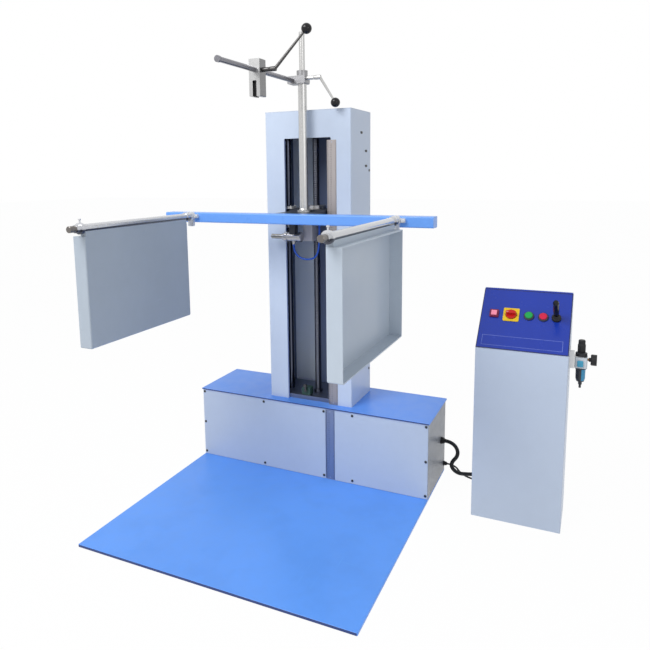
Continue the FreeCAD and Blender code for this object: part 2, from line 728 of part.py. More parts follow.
tilt = FreeCAD.Placement(V(desk_x, desk_front, desk_low), FreeCAD.Rotation(V(1, 0, 0), 45))


def on_slope(shape):
    """Move a piece modelled flat (u, s, height) onto the sloped face."""
    placed = shape.copy()
    placed.Placement = tilt.multiply(placed.Placement)
    return placed


window = block(14, desk_w - 14, 14, slope_len - 14, -12, 4)
desk = desk.cut(on_slope(window))
desk = desk.cut(bar((desk_plug_x, desk_back - 10, desk_plug_z), (0, 1, 0), conduit_r + 2, 20))
desk = desk.cut(bar((desk_cord_x, desk_back - 10, desk_cord_z), (0, 1, 0), cord_r + 2, 20))
save("console_body", desk)

lamp_u = 54.0
switch_u = 121.0
green_u = 190.0
red_u = 245.0
stick_u = 294.0
barrel_r = 14.5
shaft_r = 8.0
cap_r = 15.0
stick_ball = 12.5
face = block(2, desk_w - 2, 2, slope_len - 2, -face_t, 0)
face = softened(face, (0, 0, 1), 5.0)
for u in (green_u, red_u):
    face = face.cut(bar((u, row_s, -9), (0, 0, 1), barrel_r, 20))
face = face.cut(bar((lamp_u, row_s, -9), (0, 0, 1), barrel_r, 20))
face = face.cut(bar((switch_u, row_s, -9), (0, 0, 1), shaft_r + 1.0, 20))
face = face.cut(bar((stick_u, row_s, -9), (0, 0, 1), stick_ball + 2.0, 20))
save("console_panel", on_slope(face))

lamp = block(lamp_u - 18, lamp_u + 18, row_s - 18, row_s + 18, 0, 7)
lamp = softened(lamp, (0, 0, 1), 4.0)
lens = block(lamp_u - 11, lamp_u + 11, row_s - 11, row_s + 11, 6, 12)
lamp = joined(lamp, lens, bar((lamp_u, row_s, -28), (0, 0, 1), barrel_r, 29))
save("pilot_lamp", on_slope(lamp))

plate_half = 31.0
yellow = block(switch_u - plate_half, switch_u + plate_half, row_s - plate_half, row_s + plate_half, 0, 4)
yellow = softened(yellow, (0, 0, 1), 5.0)
yellow = yellow.cut(bar((switch_u, row_s, -1), (0, 0, 1), shaft_r + run_gap, 8))
save("switch_plate", on_slope(yellow))
grip = turned([(0, -20), (shaft_r, -20), (shaft_r, 4 + seat_gap), (21, 4 + seat_gap), (21, 9),
               (18, 12), (0, 12)], (switch_u, row_s, 0))
bar_grip = block(switch_u - 20, switch_u + 20, row_s - 6, row_s + 6, 11, 26)
bar_grip = softened(bar_grip, (0, 0, 1), 5.0)
save("switch_knob", on_slope(joined(grip, bar_grip)))


def bezel(u):
    ring = turned([(0, -28), (barrel_r, -28), (barrel_r, 0), (20, 0), (20, 5), (18, 8),
                   (cap_r + run_gap, 8), (cap_r + run_gap, 0.6), (0, 0.6)], (u, row_s, 0))
    return on_slope(ring)


def push_cap(u):
    return on_slope(turned([(0, 4.5), (cap_r, 4.5), (cap_r, 11), (cap_r - 2, 13), (0, 13)],
                           (u, row_s, 0)))


save("button_bezels", bezel(green_u), bezel(red_u))
save("green_cap", push_cap(green_u))
save("red_cap", push_cap(red_u))

stick_n = 6.0
pin_r = 2.5
pin_half = 15.5
collar = turned([(stick_ball + seat_gap, 0), (18, 0), (18, 9), (16, 11), (stick_ball + seat_gap, 11)],
                (stick_u, row_s, 0))
collar = collar.cut(bar((stick_u - pin_half - 1, row_s, stick_n), (1, 0, 0), pin_r + run_gap,
                        2 * pin_half + 2))
save("joystick_base", on_slope(collar))
stick = Part.makeSphere(stick_ball, V(stick_u, row_s, stick_n))
stick = joined(stick, turned([(0, 9), (7, 9), (7.5, 26), (10.5, 40), (11.5, 62), (11.5, 112),
                             (8, 120), (0, 120)],
                             (stick_u, row_s, 0)))
stick = stick.cut(block(stick_u - 20, stick_u + 20, row_s - 20, row_s + 20, -20, -5))
stick = joined(stick, bar((stick_u - pin_half, row_s, stick_n), (1, 0, 0), pin_r, 2 * pin_half))
save("joystick_stick", on_slope(stick))

# filter regulator on the console's right wall
col_r = 21.5
neck_r = 15.0
brk_z = reg_z + 25.0
plate_b = block(desk_x1, desk_x1 + 3, reg_y - 28, reg_y + 28, brk_z - 46, brk_z + 26)
ear_b = block(desk_x1, desk_x1 + 18, reg_y - 28, reg_y - 25, brk_z - 46, brk_z + 26)
arm_b = block(desk_x1, reg_x + 10, reg_y - 16, reg_y + 16, brk_z - 3, brk_z)
bracket_b = joined(plate_b, ear_b, arm_b)
bracket_b = bracket_b.cut(bar((reg_x, reg_y, brk_z - 10), (0, 0, 1), neck_r, 20))
save("filter_bracket", bracket_b)
body_half = 23.0
reg_top = brk_z - 3
reg = block(reg_x - body_half, reg_x + body_half, reg_y - body_half, reg_y + body_half, reg_z - 20, reg_top)
reg = softened(reg, (0, 0, 1), 6.0)
reg = joined(reg, bar((reg_x, reg_y, reg_top - 1), (0, 0, 1), neck_r, 5.0),
             turned([(0, brk_z), (col_r, brk_z), (col_r, brk_z + 12), (neck_r, brk_z + 15), (0, brk_z + 15)],
                    (reg_x, reg_y, 0)))
port_r = 5.8
for s in (-1, 1):
    boss = bar((reg_x, reg_y + s * (body_half - 1), reg_z), (0, s, 0), 11.0, 4.0)
    reg = joined(reg, boss)
    reg = reg.cut(bar((reg_x, reg_y + s * (body_half + 4), reg_z), (0, -s, 0), port_r, 15.0))
gauge_z = reg_z + 12.0
reg = reg.cut(bar((reg_x + body_half - 8, reg_y, gauge_z), (1, 0, 0), 5.0, 10))
spindle_r = 5.0
reg = reg.cut(bar((reg_x, reg_y, brk_z), (0, 0, 1), spindle_r + run_gap, 20))
save("filter_body", reg)
knob_z = brk_z + 15 + seat_gap
save("filter_knob", turned([(0, brk_z + 3), (spindle_r, brk_z + 3), (spindle_r, knob_z), (14.5, knob_z),
                            (14.5, knob_z + 30), (13, knob_z + 32), (13, knob_z + 44), (11, knob_z + 48),
                            (0, knob_z + 48)], (reg_x, reg_y, 0)))
bowl_z = reg_z - 20
save("filter_bowl", turned([(0, bowl_z), (20, bowl_z), (20, bowl_z - 8), (18, bowl_z - 10),
                            (17.5, bowl_z - 46), (14, bowl_z - 57), (7, bowl_z - 61), (7, bowl_z - 70),
                            (4.5, bowl_z - 72), (4.5, bowl_z - 84), (0, bowl_z - 84)], (reg_x, reg_y, 0)))
case_x = reg_x + body_half
save("gauge_case", turned([(0, -8), (5, -8), (5, 4), (8, 4), (8, 11), (19, 11), (21.5, 14), (21.5, 33),
                           (18.5, 33), (18.5, 27), (1.5 + run_gap, 27), (1.5 + run_gap, 20), (0, 20)],
                          (case_x, reg_y, gauge_z), (1, 0, 0)))
needle = bar((case_x + 21, reg_y, gauge_z), (1, 0, 0), 1.5, 8.5)
hand = prism([(0, -1.4, -5), (0, 1.4, -5), (0, 0.6, 15), (0, -0.6, 15)],
             (case_x + 28, reg_y, gauge_z), (1.2, 0, 0))
hand.rotate(V(case_x, reg_y, gauge_z), V(1, 0, 0), 135)
needle = joined(needle, bar((case_x + 27 + seat_gap, reg_y, gauge_z), (1, 0, 0), 3.0, 2.2), hand)
save("gauge_needle", needle)

save("cover_screws", *screw_list)
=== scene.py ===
import json
import math

import bmesh
import bpy
import numpy as np
from bpy.props import FloatProperty, FloatVectorProperty, IntProperty, PointerProperty
from bpy.types import Operator, Panel, PropertyGroup
from mathutils import Matrix, Vector

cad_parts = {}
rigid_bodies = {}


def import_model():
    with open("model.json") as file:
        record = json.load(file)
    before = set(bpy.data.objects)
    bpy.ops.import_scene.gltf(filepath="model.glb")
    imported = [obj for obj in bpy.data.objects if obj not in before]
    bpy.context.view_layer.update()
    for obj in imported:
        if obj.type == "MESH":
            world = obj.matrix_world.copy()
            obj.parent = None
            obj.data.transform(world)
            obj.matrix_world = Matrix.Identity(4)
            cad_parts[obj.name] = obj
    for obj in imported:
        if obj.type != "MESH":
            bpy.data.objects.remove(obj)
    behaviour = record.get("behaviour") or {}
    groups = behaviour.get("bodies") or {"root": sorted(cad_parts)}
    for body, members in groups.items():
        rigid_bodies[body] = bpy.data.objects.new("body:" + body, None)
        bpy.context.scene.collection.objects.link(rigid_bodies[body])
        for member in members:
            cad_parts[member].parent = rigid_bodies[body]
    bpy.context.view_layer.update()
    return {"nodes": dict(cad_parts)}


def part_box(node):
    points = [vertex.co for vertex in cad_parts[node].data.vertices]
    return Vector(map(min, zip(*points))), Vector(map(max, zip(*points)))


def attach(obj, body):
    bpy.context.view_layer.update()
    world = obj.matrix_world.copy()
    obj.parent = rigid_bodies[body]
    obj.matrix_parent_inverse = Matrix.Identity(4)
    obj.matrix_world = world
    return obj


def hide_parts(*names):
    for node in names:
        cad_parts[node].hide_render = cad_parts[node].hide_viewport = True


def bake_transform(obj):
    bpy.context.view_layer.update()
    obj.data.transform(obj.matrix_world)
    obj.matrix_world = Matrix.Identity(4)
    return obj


for leftover in list(bpy.data.objects):
    bpy.data.objects.remove(leftover)
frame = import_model()
nodes = frame["nodes"]

bl_info = {
    "name": "Drop Tester Dressing",
    "version": (1, 0, 0),
    "blender": (4, 5, 0),
    "location": "View3D > Sidebar > Drop Tester",
    "description": "Finishes, scales, threads and cords for a twin-wing drop tester",
    "category": "Object",
}

MM = 0.001
OUT_OF_FRONT = Matrix.Rotation(math.radians(90), 4, "X")  # turns flat figures to face -Y
SLOPE = math.sqrt(0.5)  # sine and cosine of the console's 45 degree face
SLOPE_OUT = (0.0, -SLOPE, SLOPE)
PRINT_LIFT = 0.12  # mm, printed marks in front of what they are printed on
LINING_TOP = 1.7045  # m, under the column's top sheet
NO_TOP = 10.0  # m, above everything
COLUMN_SIDE = 0.210  # m, from the middle to the column's side sheets
PLUG_PLACES = [(0.011, 1.608), (0.071, 1.528), (0.071, 1.460)]  # y and z on the side sheets, m
WHITE = (1.0, 1.0, 1.0, 1.0)


# surfaces
def grid_faces(rows, cols, round_rows=False):
    """Quads of a rows x cols grid, last column joined to the first when round_rows."""
    i, j = np.meshgrid(np.arange(rows - 1), np.arange(cols if round_rows else cols - 1), indexing="ij")
    k = (j + 1) % cols
    quads = np.stack([i * cols + j, i * cols + k, (i + 1) * cols + k, (i + 1) * cols + j], axis=-1)
    return quads.reshape(-1, 4)


def new_object(name, data):
    made = bpy.data.objects.new(name, data)
    bpy.context.scene.collection.objects.link(made)
    return made


def make_piece(name, surface, look, body, closed=True, sharp=35.0):
    """Mesh of (points, faces), merged and turned outwards when closed, riding on a body."""
    points, faces = surface
    mesh = bpy.data.meshes.new(name)
    mesh.from_pydata(np.asarray(points).reshape(-1, 3).tolist(), [], np.asarray(faces).tolist())
    if closed:
        work = bmesh.new()
        work.from_mesh(mesh)
        bmesh.ops.remove_doubles(work, verts=work.verts, dist=2e-7)
        bmesh.ops.recalc_face_normals(work, faces=work.faces)
        work.to_mesh(mesh)
        work.free()
    mesh.polygons.foreach_set("use_smooth", np.ones(len(mesh.polygons), dtype=bool))
    mesh.set_sharp_from_angle(angle=math.radians(sharp))
    mesh.update()
    piece = new_object(name, mesh)
    mesh.materials.append(MATERIALS[look])
    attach(piece, body)
    return piece


def side_axes(direction):
    """Two unit vectors square to a direction and to each other, and the direction's own."""
    w = np.asarray(direction, float)
    w = w / np.linalg.norm(w)
    helper = np.array([0.0, 0.0, 1.0]) if abs(w[2]) < 0.9 else np.array([1.0, 0.0, 0.0])
    u = np.cross(helper, w)
    u /= np.linalg.norm(u)
    return u, np.cross(w, u), w


def revolve(radius, height, origin, direction, ripple=None, segments=48):
    """point = origin + height * w + radius * (cos a * u + sin a * v).
    radius may be changed by ripple(radius, height, a), which gives the new radius."""
    u, v, w = side_axes(direction)
    a = np.linspace(0, 2 * np.pi, segments, endpoint=False)[None, :]
    r = np.broadcast_to(np.asarray(radius, float)[:, None], (len(radius), segments))
    h = np.broadcast_to(np.asarray(height, float)[:, None], r.shape)
    if ripple is not None:
        r = ripple(r, h, a)
    ring = r[..., None] * (np.cos(a)[..., None] * u + np.sin(a)[..., None] * v)
    points = np.asarray(origin, float) + h[..., None] * w + ring
    return points, grid_faces(len(radius), segments, True)


def revolve_mm(radius, height, *rest):
    """The same, with radius and height in millimetres."""
    return revolve(np.asarray(radius) * MM, np.asarray(height) * MM, *rest)


def superellipse(power, wide, tall, count):
    """across = wide * sign(cos a) * |cos a| ** power; up is the same of tall and sin a."""
    turn = np.linspace(0.0, 2.0 * np.pi, count, endpoint=False)
    across, up = np.cos(turn), np.sin(turn)
    return np.sign(across) * np.abs(across) ** power * wide, np.sign(up) * np.abs(up) ** power * tall


def stepped_cap(seat, out, side, outline, share, proud):
    """point = seat + proud * out + share * (across * side + up * z), a ring for each share; proud in mm."""
    across, up = (part[:, None] for part in outline)
    share, proud = np.array(share)[:, None, None], np.array(proud)[:, None, None] * MM
    flat = across * np.array(side) + up * np.array([0.0, 0.0, 1.0])
    points = np.array(seat) + proud * np.array(out) + share * flat
    return points.reshape(-1, 3), grid_faces(len(share), len(across), True)


def joined_surfaces(parts):
    """Several (points, faces) surfaces as one pair of arrays."""
    points, faces, start = [], [], 0
    for p, f in parts:
        p = np.asarray(p).reshape(-1, 3)
        points.append(p)
        faces.append(np.asarray(f) + start)
        start += len(p)
    return np.concatenate(points), np.concatenate(faces)


def tube_along(path, radius, segments):
    """Ring of the given radius round each path point, square to the path, closed at both ends."""
    along = np.gradient(path, axis=0)
    along /= np.linalg.norm(along, axis=1)[:, None]
    u = np.cross(along, np.array([0.35, 0.75, 0.55]))
    u /= np.linalg.norm(u, axis=1)[:, None]
    v = np.cross(along, u)
    a = np.linspace(0, 2 * np.pi, segments, endpoint=False)
    ring = np.cos(a)[None, :, None] * u[:, None, :] + np.sin(a)[None, :, None] * v[:, None, :]
    points = path[:, None, :] + radius[:, None, None] * ring
    tip = np.repeat(path[[0, -1]][:, None, :], segments, axis=1)
    points = np.concatenate([tip[:1], points, tip[1:]])
    return points, grid_faces(len(points), segments, True)


def vertex_points(mesh):
    points = np.zeros(len(mesh.vertices) * 3)
    mesh.vertices.foreach_get("co", points)
    return points.reshape(-1, 3)


def written(text, size, place, line=1.0, align="LEFT"):
    """Figures as a flat mesh: (points, faces) after the place matrix."""
    curve = bpy.data.curves.new("figures", "FONT")
    curve.body = text
    curve.size = size
    curve.space_line = line
    curve.align_x = align
    curve.resolution_u = 2
    carrier = new_object("figures", curve)
    bpy.context.view_layer.update()
    mesh = bpy.data.meshes.new_from_object(carrier)
    mesh.transform(place)
    bpy.data.objects.remove(carrier)
    work = bmesh.new()
    work.from_mesh(mesh)
    bmesh.ops.triangulate(work, faces=work.faces)
    work.to_mesh(mesh)
    work.free()
    points = vertex_points(mesh)
    corners = np.zeros(len(mesh.loops), int)
    mesh.loops.foreach_get("vertex_index", corners)
    bpy.data.meshes.remove(mesh)
    bpy.data.curves.remove(curve)
    return points, corners.reshape(-1, 3)


def strips(x0, x1, z, half, y):
    """One flat quad facing -Y for each height z, from x0 to x1 and half a width up and down."""
    corners = np.stack([np.stack([np.broadcast_to(x, z.shape), np.full_like(z, y), z + d], axis=-1)
                        for x, d in ((x0, -half), (x1, -half), (x1, half), (x0, half))], axis=1)
    return corners.reshape(-1, 3), np.arange(len(z) * 4).reshape(-1, 4)


def on_slope(u, s, n):
    """Point on the console's sloped face: u across, s up the slope, n out of it, in mm."""
    return np.array([771 + u, -187 + s * SLOPE - n * SLOPE, 728 + s * SLOPE + n * SLOPE]) * MM


def slope_quads(boxes, n):
    """Flat quads n out of the sloped face, one for each box (u0, u1, s0, s1), in mm."""
    points = [on_slope(u, s, n) for a, b, c, d in boxes for u, s in ((a, c), (b, c), (b, d), (a, d))]
    return np.array(points), np.arange(len(points)).reshape(-1, 4)


# shader nodes
def fill(tree, node, **sockets):
    """Give inputs a value or another node's output; iN is input number N, and _ stands for a space."""
    for key, value in sockets.items():
        socket = node.inputs[int(key[1:])] if key[1:].isdigit() else node.inputs[key.replace("_", " ")]
        if isinstance(value, bpy.types.NodeSocket):
            tree.links.new(value, socket)
        else:
            socket.default_value = value
    return node


def add_node(tree, kind, settings=None, **sockets):
    made = tree.nodes.new("ShaderNode" + kind)
    for key, value in (settings or {}).items():
        setattr(made, key, value)
    return fill(tree, made, **sockets)


def arithmetic(tree, operation, a, b=0.0):
    return add_node(tree, "Math", {"operation": operation}, i0=a, i1=b).outputs[0]


def times(tree, a, b):
    return arithmetic(tree, "MULTIPLY", a, b)


def remap(tree, value, low, high, new_low=0.0, new_high=1.0):
    return add_node(tree, "MapRange", None, i0=value, i1=low, i2=high, i3=new_low, i4=new_high).outputs[0]


def noise(tree, vector, scale, detail=2.0, rough=0.5):
    return add_node(tree, "TexNoise", None, Vector=vector, Scale=scale, Detail=detail, Roughness=rough).outputs[0]


def stretched(tree, vector, scale):
    return add_node(tree, "Mapping", None, Vector=vector, Scale=scale).outputs[0]


def blended(tree, mask, a, b):
    return add_node(tree, "Mix", {"data_type": "RGBA"}, i0=mask, i6=a, i7=b).outputs[2]


def new_group(name, inputs, outputs):
    """Shader node group with a Place and other inputs: its tree, its inputs' values and its end node."""
    tree = bpy.data.node_groups.new(name, "ShaderNodeTree")
    tree.interface.new_socket("Place", in_out="INPUT", socket_type="NodeSocketVector")
    for label, kind, value in inputs:
        socket = tree.interface.new_socket(label, in_out="INPUT", socket_type="NodeSocket" + kind)
        socket.default_value = value
    for label in outputs:
        tree.interface.new_socket(label, in_out="OUTPUT", socket_type="NodeSocketFloat")
    return tree, tree.nodes.new("NodeGroupInput").outputs, tree.nodes.new("NodeGroupOutput")


def paint_skin_group():
    """Sprayed coat: fine peel for height, slow clouds for tone, smudges for roughness."""
    tree, enter, leave = new_group("Sprayed Coat", [], ("Tone", "Smudge", "Peel"))
    place = enter["Place"]
    cloud, small = noise(tree, place, 2.3, 3.0), noise(tree, place, 24.0, 4.0, 0.6)
    tone = arithmetic(tree, "ADD", times(tree, cloud, 0.65), times(tree, small, 0.35))
    fill(tree, leave, Tone=remap(tree, tone, 0.35, 0.65), Smudge=remap(tree, small, 0.35, 0.7),
         Peel=noise(tree, place, 650.0, 1.0))
    return tree


def scuff_group():
    """Handling marks: thin drag scratches one way and the other, and rubbed patches."""
    tree, enter, leave = new_group("Handling Marks", [("Amount", "Float", 0.5)], ("Scratch", "Rub"))
    place, amount = enter["Place"], enter["Amount"]
    one = noise(tree, stretched(tree, place, (260.0, 5.0, 40.0)), 1.0)
    other = noise(tree, stretched(tree, place, (4.0, 230.0, 60.0)), 1.0)
    lines = arithmetic(tree, "MAXIMUM", remap(tree, one, 0.70, 0.76), remap(tree, other, 0.71, 0.77))
    patch = remap(tree, noise(tree, place, 3.4, 4.0, 0.65), 0.48, 0.62)
    fill(tree, leave, Scratch=times(tree, times(tree, lines, patch), amount), Rub=times(tree, patch, amount))
    return tree


def grain_group():
    """Metal grain drawn out along one axis: noise whose coordinates are stretched."""
    tree, enter, leave = new_group("Drawn Grain", [("Stretch", "Vector", (1.0, 1.0, 1.0))], ("Streak", "Line"))
    drawn = stretched(tree, enter["Place"], enter["Stretch"])
    fill(tree, leave, Streak=remap(tree, noise(tree, drawn, 1.0, 3.0, 0.6), 0.3, 0.7),
         Line=noise(tree, drawn, 4.3, 2.0, 0.6))
    return tree


def cast_group():
    """Sand-cast or bead-blasted skin: lumps of two sizes."""
    tree, enter, leave = new_group("Cast Skin", [], ("Tone", "Lumps"))
    place = enter["Place"]
    coarse, fine = noise(tree, place, 120.0, 3.0, 0.6), noise(tree, place, 900.0, 2.0, 0.7)
    fill(tree, leave, Lumps=arithmetic(tree, "ADD", times(tree, coarse, 0.6), times(tree, fine, 0.4)),
         Tone=remap(tree, noise(tree, place, 14.0, 4.0), 0.35, 0.65))
    return tree


def lining_group():
    """1 inside an upright box given by its middle, half width, front, back and top; 0 outside it."""
    tree, enter, leave = new_group(
        "Inner Lining", [("Middle", "Float", 0.0), ("Half Width", "Float", 0.2), ("Front", "Float", -0.1),
                         ("Back", "Float", 0.1), ("Top", "Float", NO_TOP)], ("Inside",))
    x, y, z = add_node(tree, "SeparateXYZ", None, i0=enter["Place"]).outputs
    off = arithmetic(tree, "ABSOLUTE", arithmetic(tree, "SUBTRACT", x, enter["Middle"]))
    inside = arithmetic(tree, "LESS_THAN", off, enter["Half Width"])
    for test, axis, limit in (("GREATER_THAN", y, "Front"), ("LESS_THAN", y, "Back"), ("LESS_THAN", z, "Top")):
        inside = times(tree, inside, arithmetic(tree, test, axis, enter[limit]))
    fill(tree, leave, Inside=inside)
    return tree


def parting_group():
    """1 past a plane given by its normal and its distance from the origin; 0 before it."""
    tree, enter, leave = new_group(
        "Parting Plane", [("Normal", "Vector", (0.0, 0.0, 1.0)), ("Level", "Float", 0.0)], ("Past",))
    far = add_node(tree, "VectorMath", {"operation": "DOT_PRODUCT"}, i0=enter["Place"], i1=enter["Normal"])
    fill(tree, leave, Past=arithmetic(tree, "GREATER_THAN", far.outputs["Value"], enter["Level"]))
    return tree


def guard_group():
    """Two bars down a bowl's wall, where cos(2 x angle) is high, and rims above and below its windows."""
    tree, enter, leave = new_group(
        "Bowl Guard", [("Centre", "Vector", (0.0, 0.0, 0.0)), ("Turn", "Float", 0.0), ("Low", "Float", 0.0),
                       ("High", "Float", 1.0)], ("Bar",))
    off = add_node(tree, "VectorMath", {"operation": "SUBTRACT"}, i0=enter["Place"], i1=enter["Centre"])
    x, y, z = add_node(tree, "SeparateXYZ", None, i0=off.outputs[0]).outputs
    angle = arithmetic(tree, "SUBTRACT", arithmetic(tree, "ARCTAN2", y, x), enter["Turn"])
    bars = arithmetic(tree, "GREATER_THAN", arithmetic(tree, "COSINE", times(tree, angle, 2.0)), -0.17)
    above = arithmetic(tree, "GREATER_THAN", z, enter["High"])
    rims = arithmetic(tree, "MAXIMUM", above, arithmetic(tree, "LESS_THAN", z, enter["Low"]))
    fill(tree, leave, Bar=arithmetic(tree, "MAXIMUM", bars, rims))
    return tree


GROUP_MAKERS = {"coat": paint_skin_group, "scuff": scuff_group, "grain": grain_group, "cast": cast_group,
                "lining": lining_group, "parting": parting_group, "guard": guard_group}
GROUPS = {}
MATERIALS = {}


def use_group(tree, name, **sockets):
    """Outputs of a shared node group, which is made when it is first used."""
    if name not in GROUPS:
        GROUPS[name] = GROUP_MAKERS[name]()
    made = tree.nodes.new("ShaderNodeGroup")
    made.node_tree = GROUPS[name]
    return fill(tree, made, **sockets).outputs


def blank_material(name):
    """New material: its tree, its Principled BSDF and its object coordinates."""
    material = bpy.data.materials.new(name)
    material.use_nodes = True
    MATERIALS[name] = material
    tree = material.node_tree
    shader = next(n for n in tree.nodes if n.type == "BSDF_PRINCIPLED")
    return tree, shader, tree.nodes.new("ShaderNodeTexCoord").outputs["Object"]


def relief(tree, shader, height, depth, strength):
    bump = add_node(tree, "Bump", None, Height=height, Distance=depth, Strength=strength)
    fill(tree, shader, Normal=bump.outputs["Normal"])


def scaled(colour, factor=1.0):
    return tuple(min(part * factor, 1.0) for part in colour[:3]) + (1.0,)


def toned(tree, mask, colour, less, more):
    """A colour that goes from less to more of itself with the mask."""
    return blended(tree, mask, scaled(colour, less), scaled(colour, more))


def recoloured(tree, place, base, ends=(), linings=(), top=NO_TOP):
    """Base with each end's colour past its plane, and each lining's colour in its box below the top."""
    for tone, way, level in ends:
        mask = use_group(tree, "parting", Place=place, Normal=way, Level=level)
        base = blended(tree, mask["Past"], base, scaled(tone))
    for tone, middle, half, front, back in linings:
        mask = use_group(tree, "lining", Place=place, Middle=middle, Half_Width=half, Front=front, Back=back,
                         Top=top)
        base = blended(tree, mask["Inside"], base, scaled(tone))
    return base


def painted_finish(name, colour, rough=0.38, depth=0.00012, spread=0.06, marks=0.0, linings=()):
    """Sprayed paint, with handling marks where marks is above 0; each lining is a colour and its box."""
    tree, shader, place = blank_material(name)
    coat = use_group(tree, "coat", Place=place)
    base = toned(tree, coat["Tone"], colour, 1.0 - spread, 1.0 + spread)
    gloss = remap(tree, coat["Smudge"], 0.0, 1.0, rough - 0.05, rough + 0.08)
    if marks:
        scuff = use_group(tree, "scuff", Place=place, Amount=marks)
        base = blended(tree, scuff["Rub"], base, scaled(colour, 0.88))
        base = blended(tree, scuff["Scratch"], base, scaled(colour, 1.5))
        gloss = arithmetic(tree, "ADD", gloss, times(tree, scuff["Rub"], 0.12))
    base = recoloured(tree, place, base, linings=linings, top=LINING_TOP)
    fill(tree, shader, Base_Color=base, Roughness=gloss, Specular_IOR_Level=0.35, Coat_Weight=0.15,
         Coat_Roughness=0.2)
    relief(tree, shader, coat["Peel"], depth, 0.35)


def drawn_metal(name, colour, stretch, rough, spread=0.16, depth=0.00004, ends=(), metal=1.0, linings=()):
    """Metal with drawn or turned grain across the small stretch axis; each end is a colour past a plane."""
    tree, shader, place = blank_material(name)
    grain = use_group(tree, "grain", Place=place, Stretch=stretch)
    base = toned(tree, grain["Streak"], colour, 1.0 - spread, 1.0 + spread * 0.6)
    fill(tree, shader, Base_Color=recoloured(tree, place, base, ends, linings), Metallic=metal,
         Roughness=remap(tree, grain["Line"], 0.3, 0.7, rough - 0.08, rough + 0.1))
    relief(tree, shader, grain["Line"], depth, 0.5)


def cast_finish(name, colour, rough, metal=1.0, depth=0.0002, spread=0.12):
    """Bead-blasted or cast metal, or thick paint on it where metal is 0."""
    tree, shader, place = blank_material(name)
    skin = use_group(tree, "cast", Place=place)
    fill(tree, shader, Base_Color=toned(tree, skin["Tone"], colour, 1.0 - spread, 1.0 + spread),
         Metallic=metal, Roughness=remap(tree, skin["Lumps"], 0.3, 0.7, rough - 0.07, rough + 0.1))
    relief(tree, shader, skin["Lumps"], depth, 0.4)


def moulded_finish(name, colour, rough, depth=0.00008, painted_glow=0.0, ends=()):
    """Moulded plastic or rubber with a fine grain; a glow above 0 is a painted glow that lights it, though it is
    no lamp, and each end is a colour past a plane.
    """
    tree, shader, place = blank_material(name)
    skin = use_group(tree, "cast", Place=place)
    base = recoloured(tree, place, toned(tree, skin["Tone"], colour, 0.94, 1.06), ends)
    fill(tree, shader, Base_Color=base, Specular_IOR_Level=0.3,
         Roughness=remap(tree, skin["Lumps"], 0.3, 0.7, rough - 0.05, rough + 0.07))
    if painted_glow:
        fill(tree, shader, Emission_Color=scaled(colour), Emission_Strength=painted_glow)
    relief(tree, shader, skin["Lumps"], depth, 0.3)


def guarded_bowl(name, colour, guard):
    """Coloured bowl inside a dark guard that leaves two tall windows free."""
    tree, shader, place = blank_material(name)
    skin = use_group(tree, "cast", Place=place)
    bars = use_group(tree, "guard", Place=place, Centre=(1.163, -0.100, 0.667), Turn=math.radians(232.0),
                     Low=-0.053, High=-0.006)
    clear = toned(tree, skin["Tone"], colour, 0.92, 1.08)
    fill(tree, shader, Base_Color=blended(tree, bars["Bar"], clear, scaled(guard)),
         Roughness=remap(tree, bars["Bar"], 0.0, 1.0, 0.12, 0.38))
    relief(tree, shader, bars["Bar"], 0.0008, 0.6)


def ink_finish(name, colour, rough=0.6):
    tree, shader, place = blank_material(name)
    skin = use_group(tree, "cast", Place=place)
    fill(tree, shader, Base_Color=toned(tree, skin["Tone"], colour, 0.85, 1.15), Roughness=rough)


def clear_glass(name):
    tree, shader, _ = blank_material(name)
    fill(tree, shader, Base_Color=WHITE, Roughness=0.02, Transmission_Weight=1.0, IOR=1.1)


# settings
def colour_property(name, words, value):
    return FloatVectorProperty(name=name, description=words, subtype="COLOR", size=3, min=0.0, max=1.0,
                               default=value)


def length_property(name, words, value):
    return FloatProperty(name=name, description=words, unit="LENGTH", min=0.0, precision=5, default=value)


def light_property(name, words, value):
    return FloatProperty(name=name, description=words, min=0.0, default=value)


class FinishSettings(PropertyGroup):
    bright_blue: colour_property("Bright blue", "Impact plate", (0.118, 0.343, 0.930))
    body_grey: colour_property("Body grey", "Base, column and console sheets", (0.500, 0.570, 0.690))
    wing_grey: colour_property("Wing grey", "Both wing trays", (0.420, 0.474, 0.540))
    # painted shade: the darker, bluer colour given to the inside of the column
    lining: colour_property("Column lining", "Inside of the column", (0.400, 0.520, 0.880))
    panel_blue: colour_property("Panel blue", "Console's sloped face", (0.009, 0.038, 0.365))
    rule: colour_property("Rule steel", "Column's rule", (0.400, 0.370, 0.370))


class DetailSettings(PropertyGroup):
    thread_lead: length_property("Thread lead", "Lift screw's travel for one turn", 0.010)
    thread_depth: length_property("Thread depth", "Depth of the trapezoidal thread", 0.0026)
    conduit_pitch: length_property("Conduit pitch", "Distance between the conduit's rings", 0.0042)
    conduit_groove: length_property("Conduit groove", "Depth between the conduit's rings", 0.0009)
    tick_width: length_property("Tick width", "Width of the rules' marks", 0.0003)
    knob_ribs: IntProperty(name="Knob ribs", description="Grip ribs round the regulator knob", min=6, max=60,
                           default=24)


class StageSettings(PropertyGroup):
    sky: light_property("Sky", "Strength of the even light from all round", 0.55)
    key: light_property("Key", "Power of the large lamp above the front, in watts", 142.0)
    fill: light_property("Fill", "Power of the lamp at the front right, in watts", 16.0)


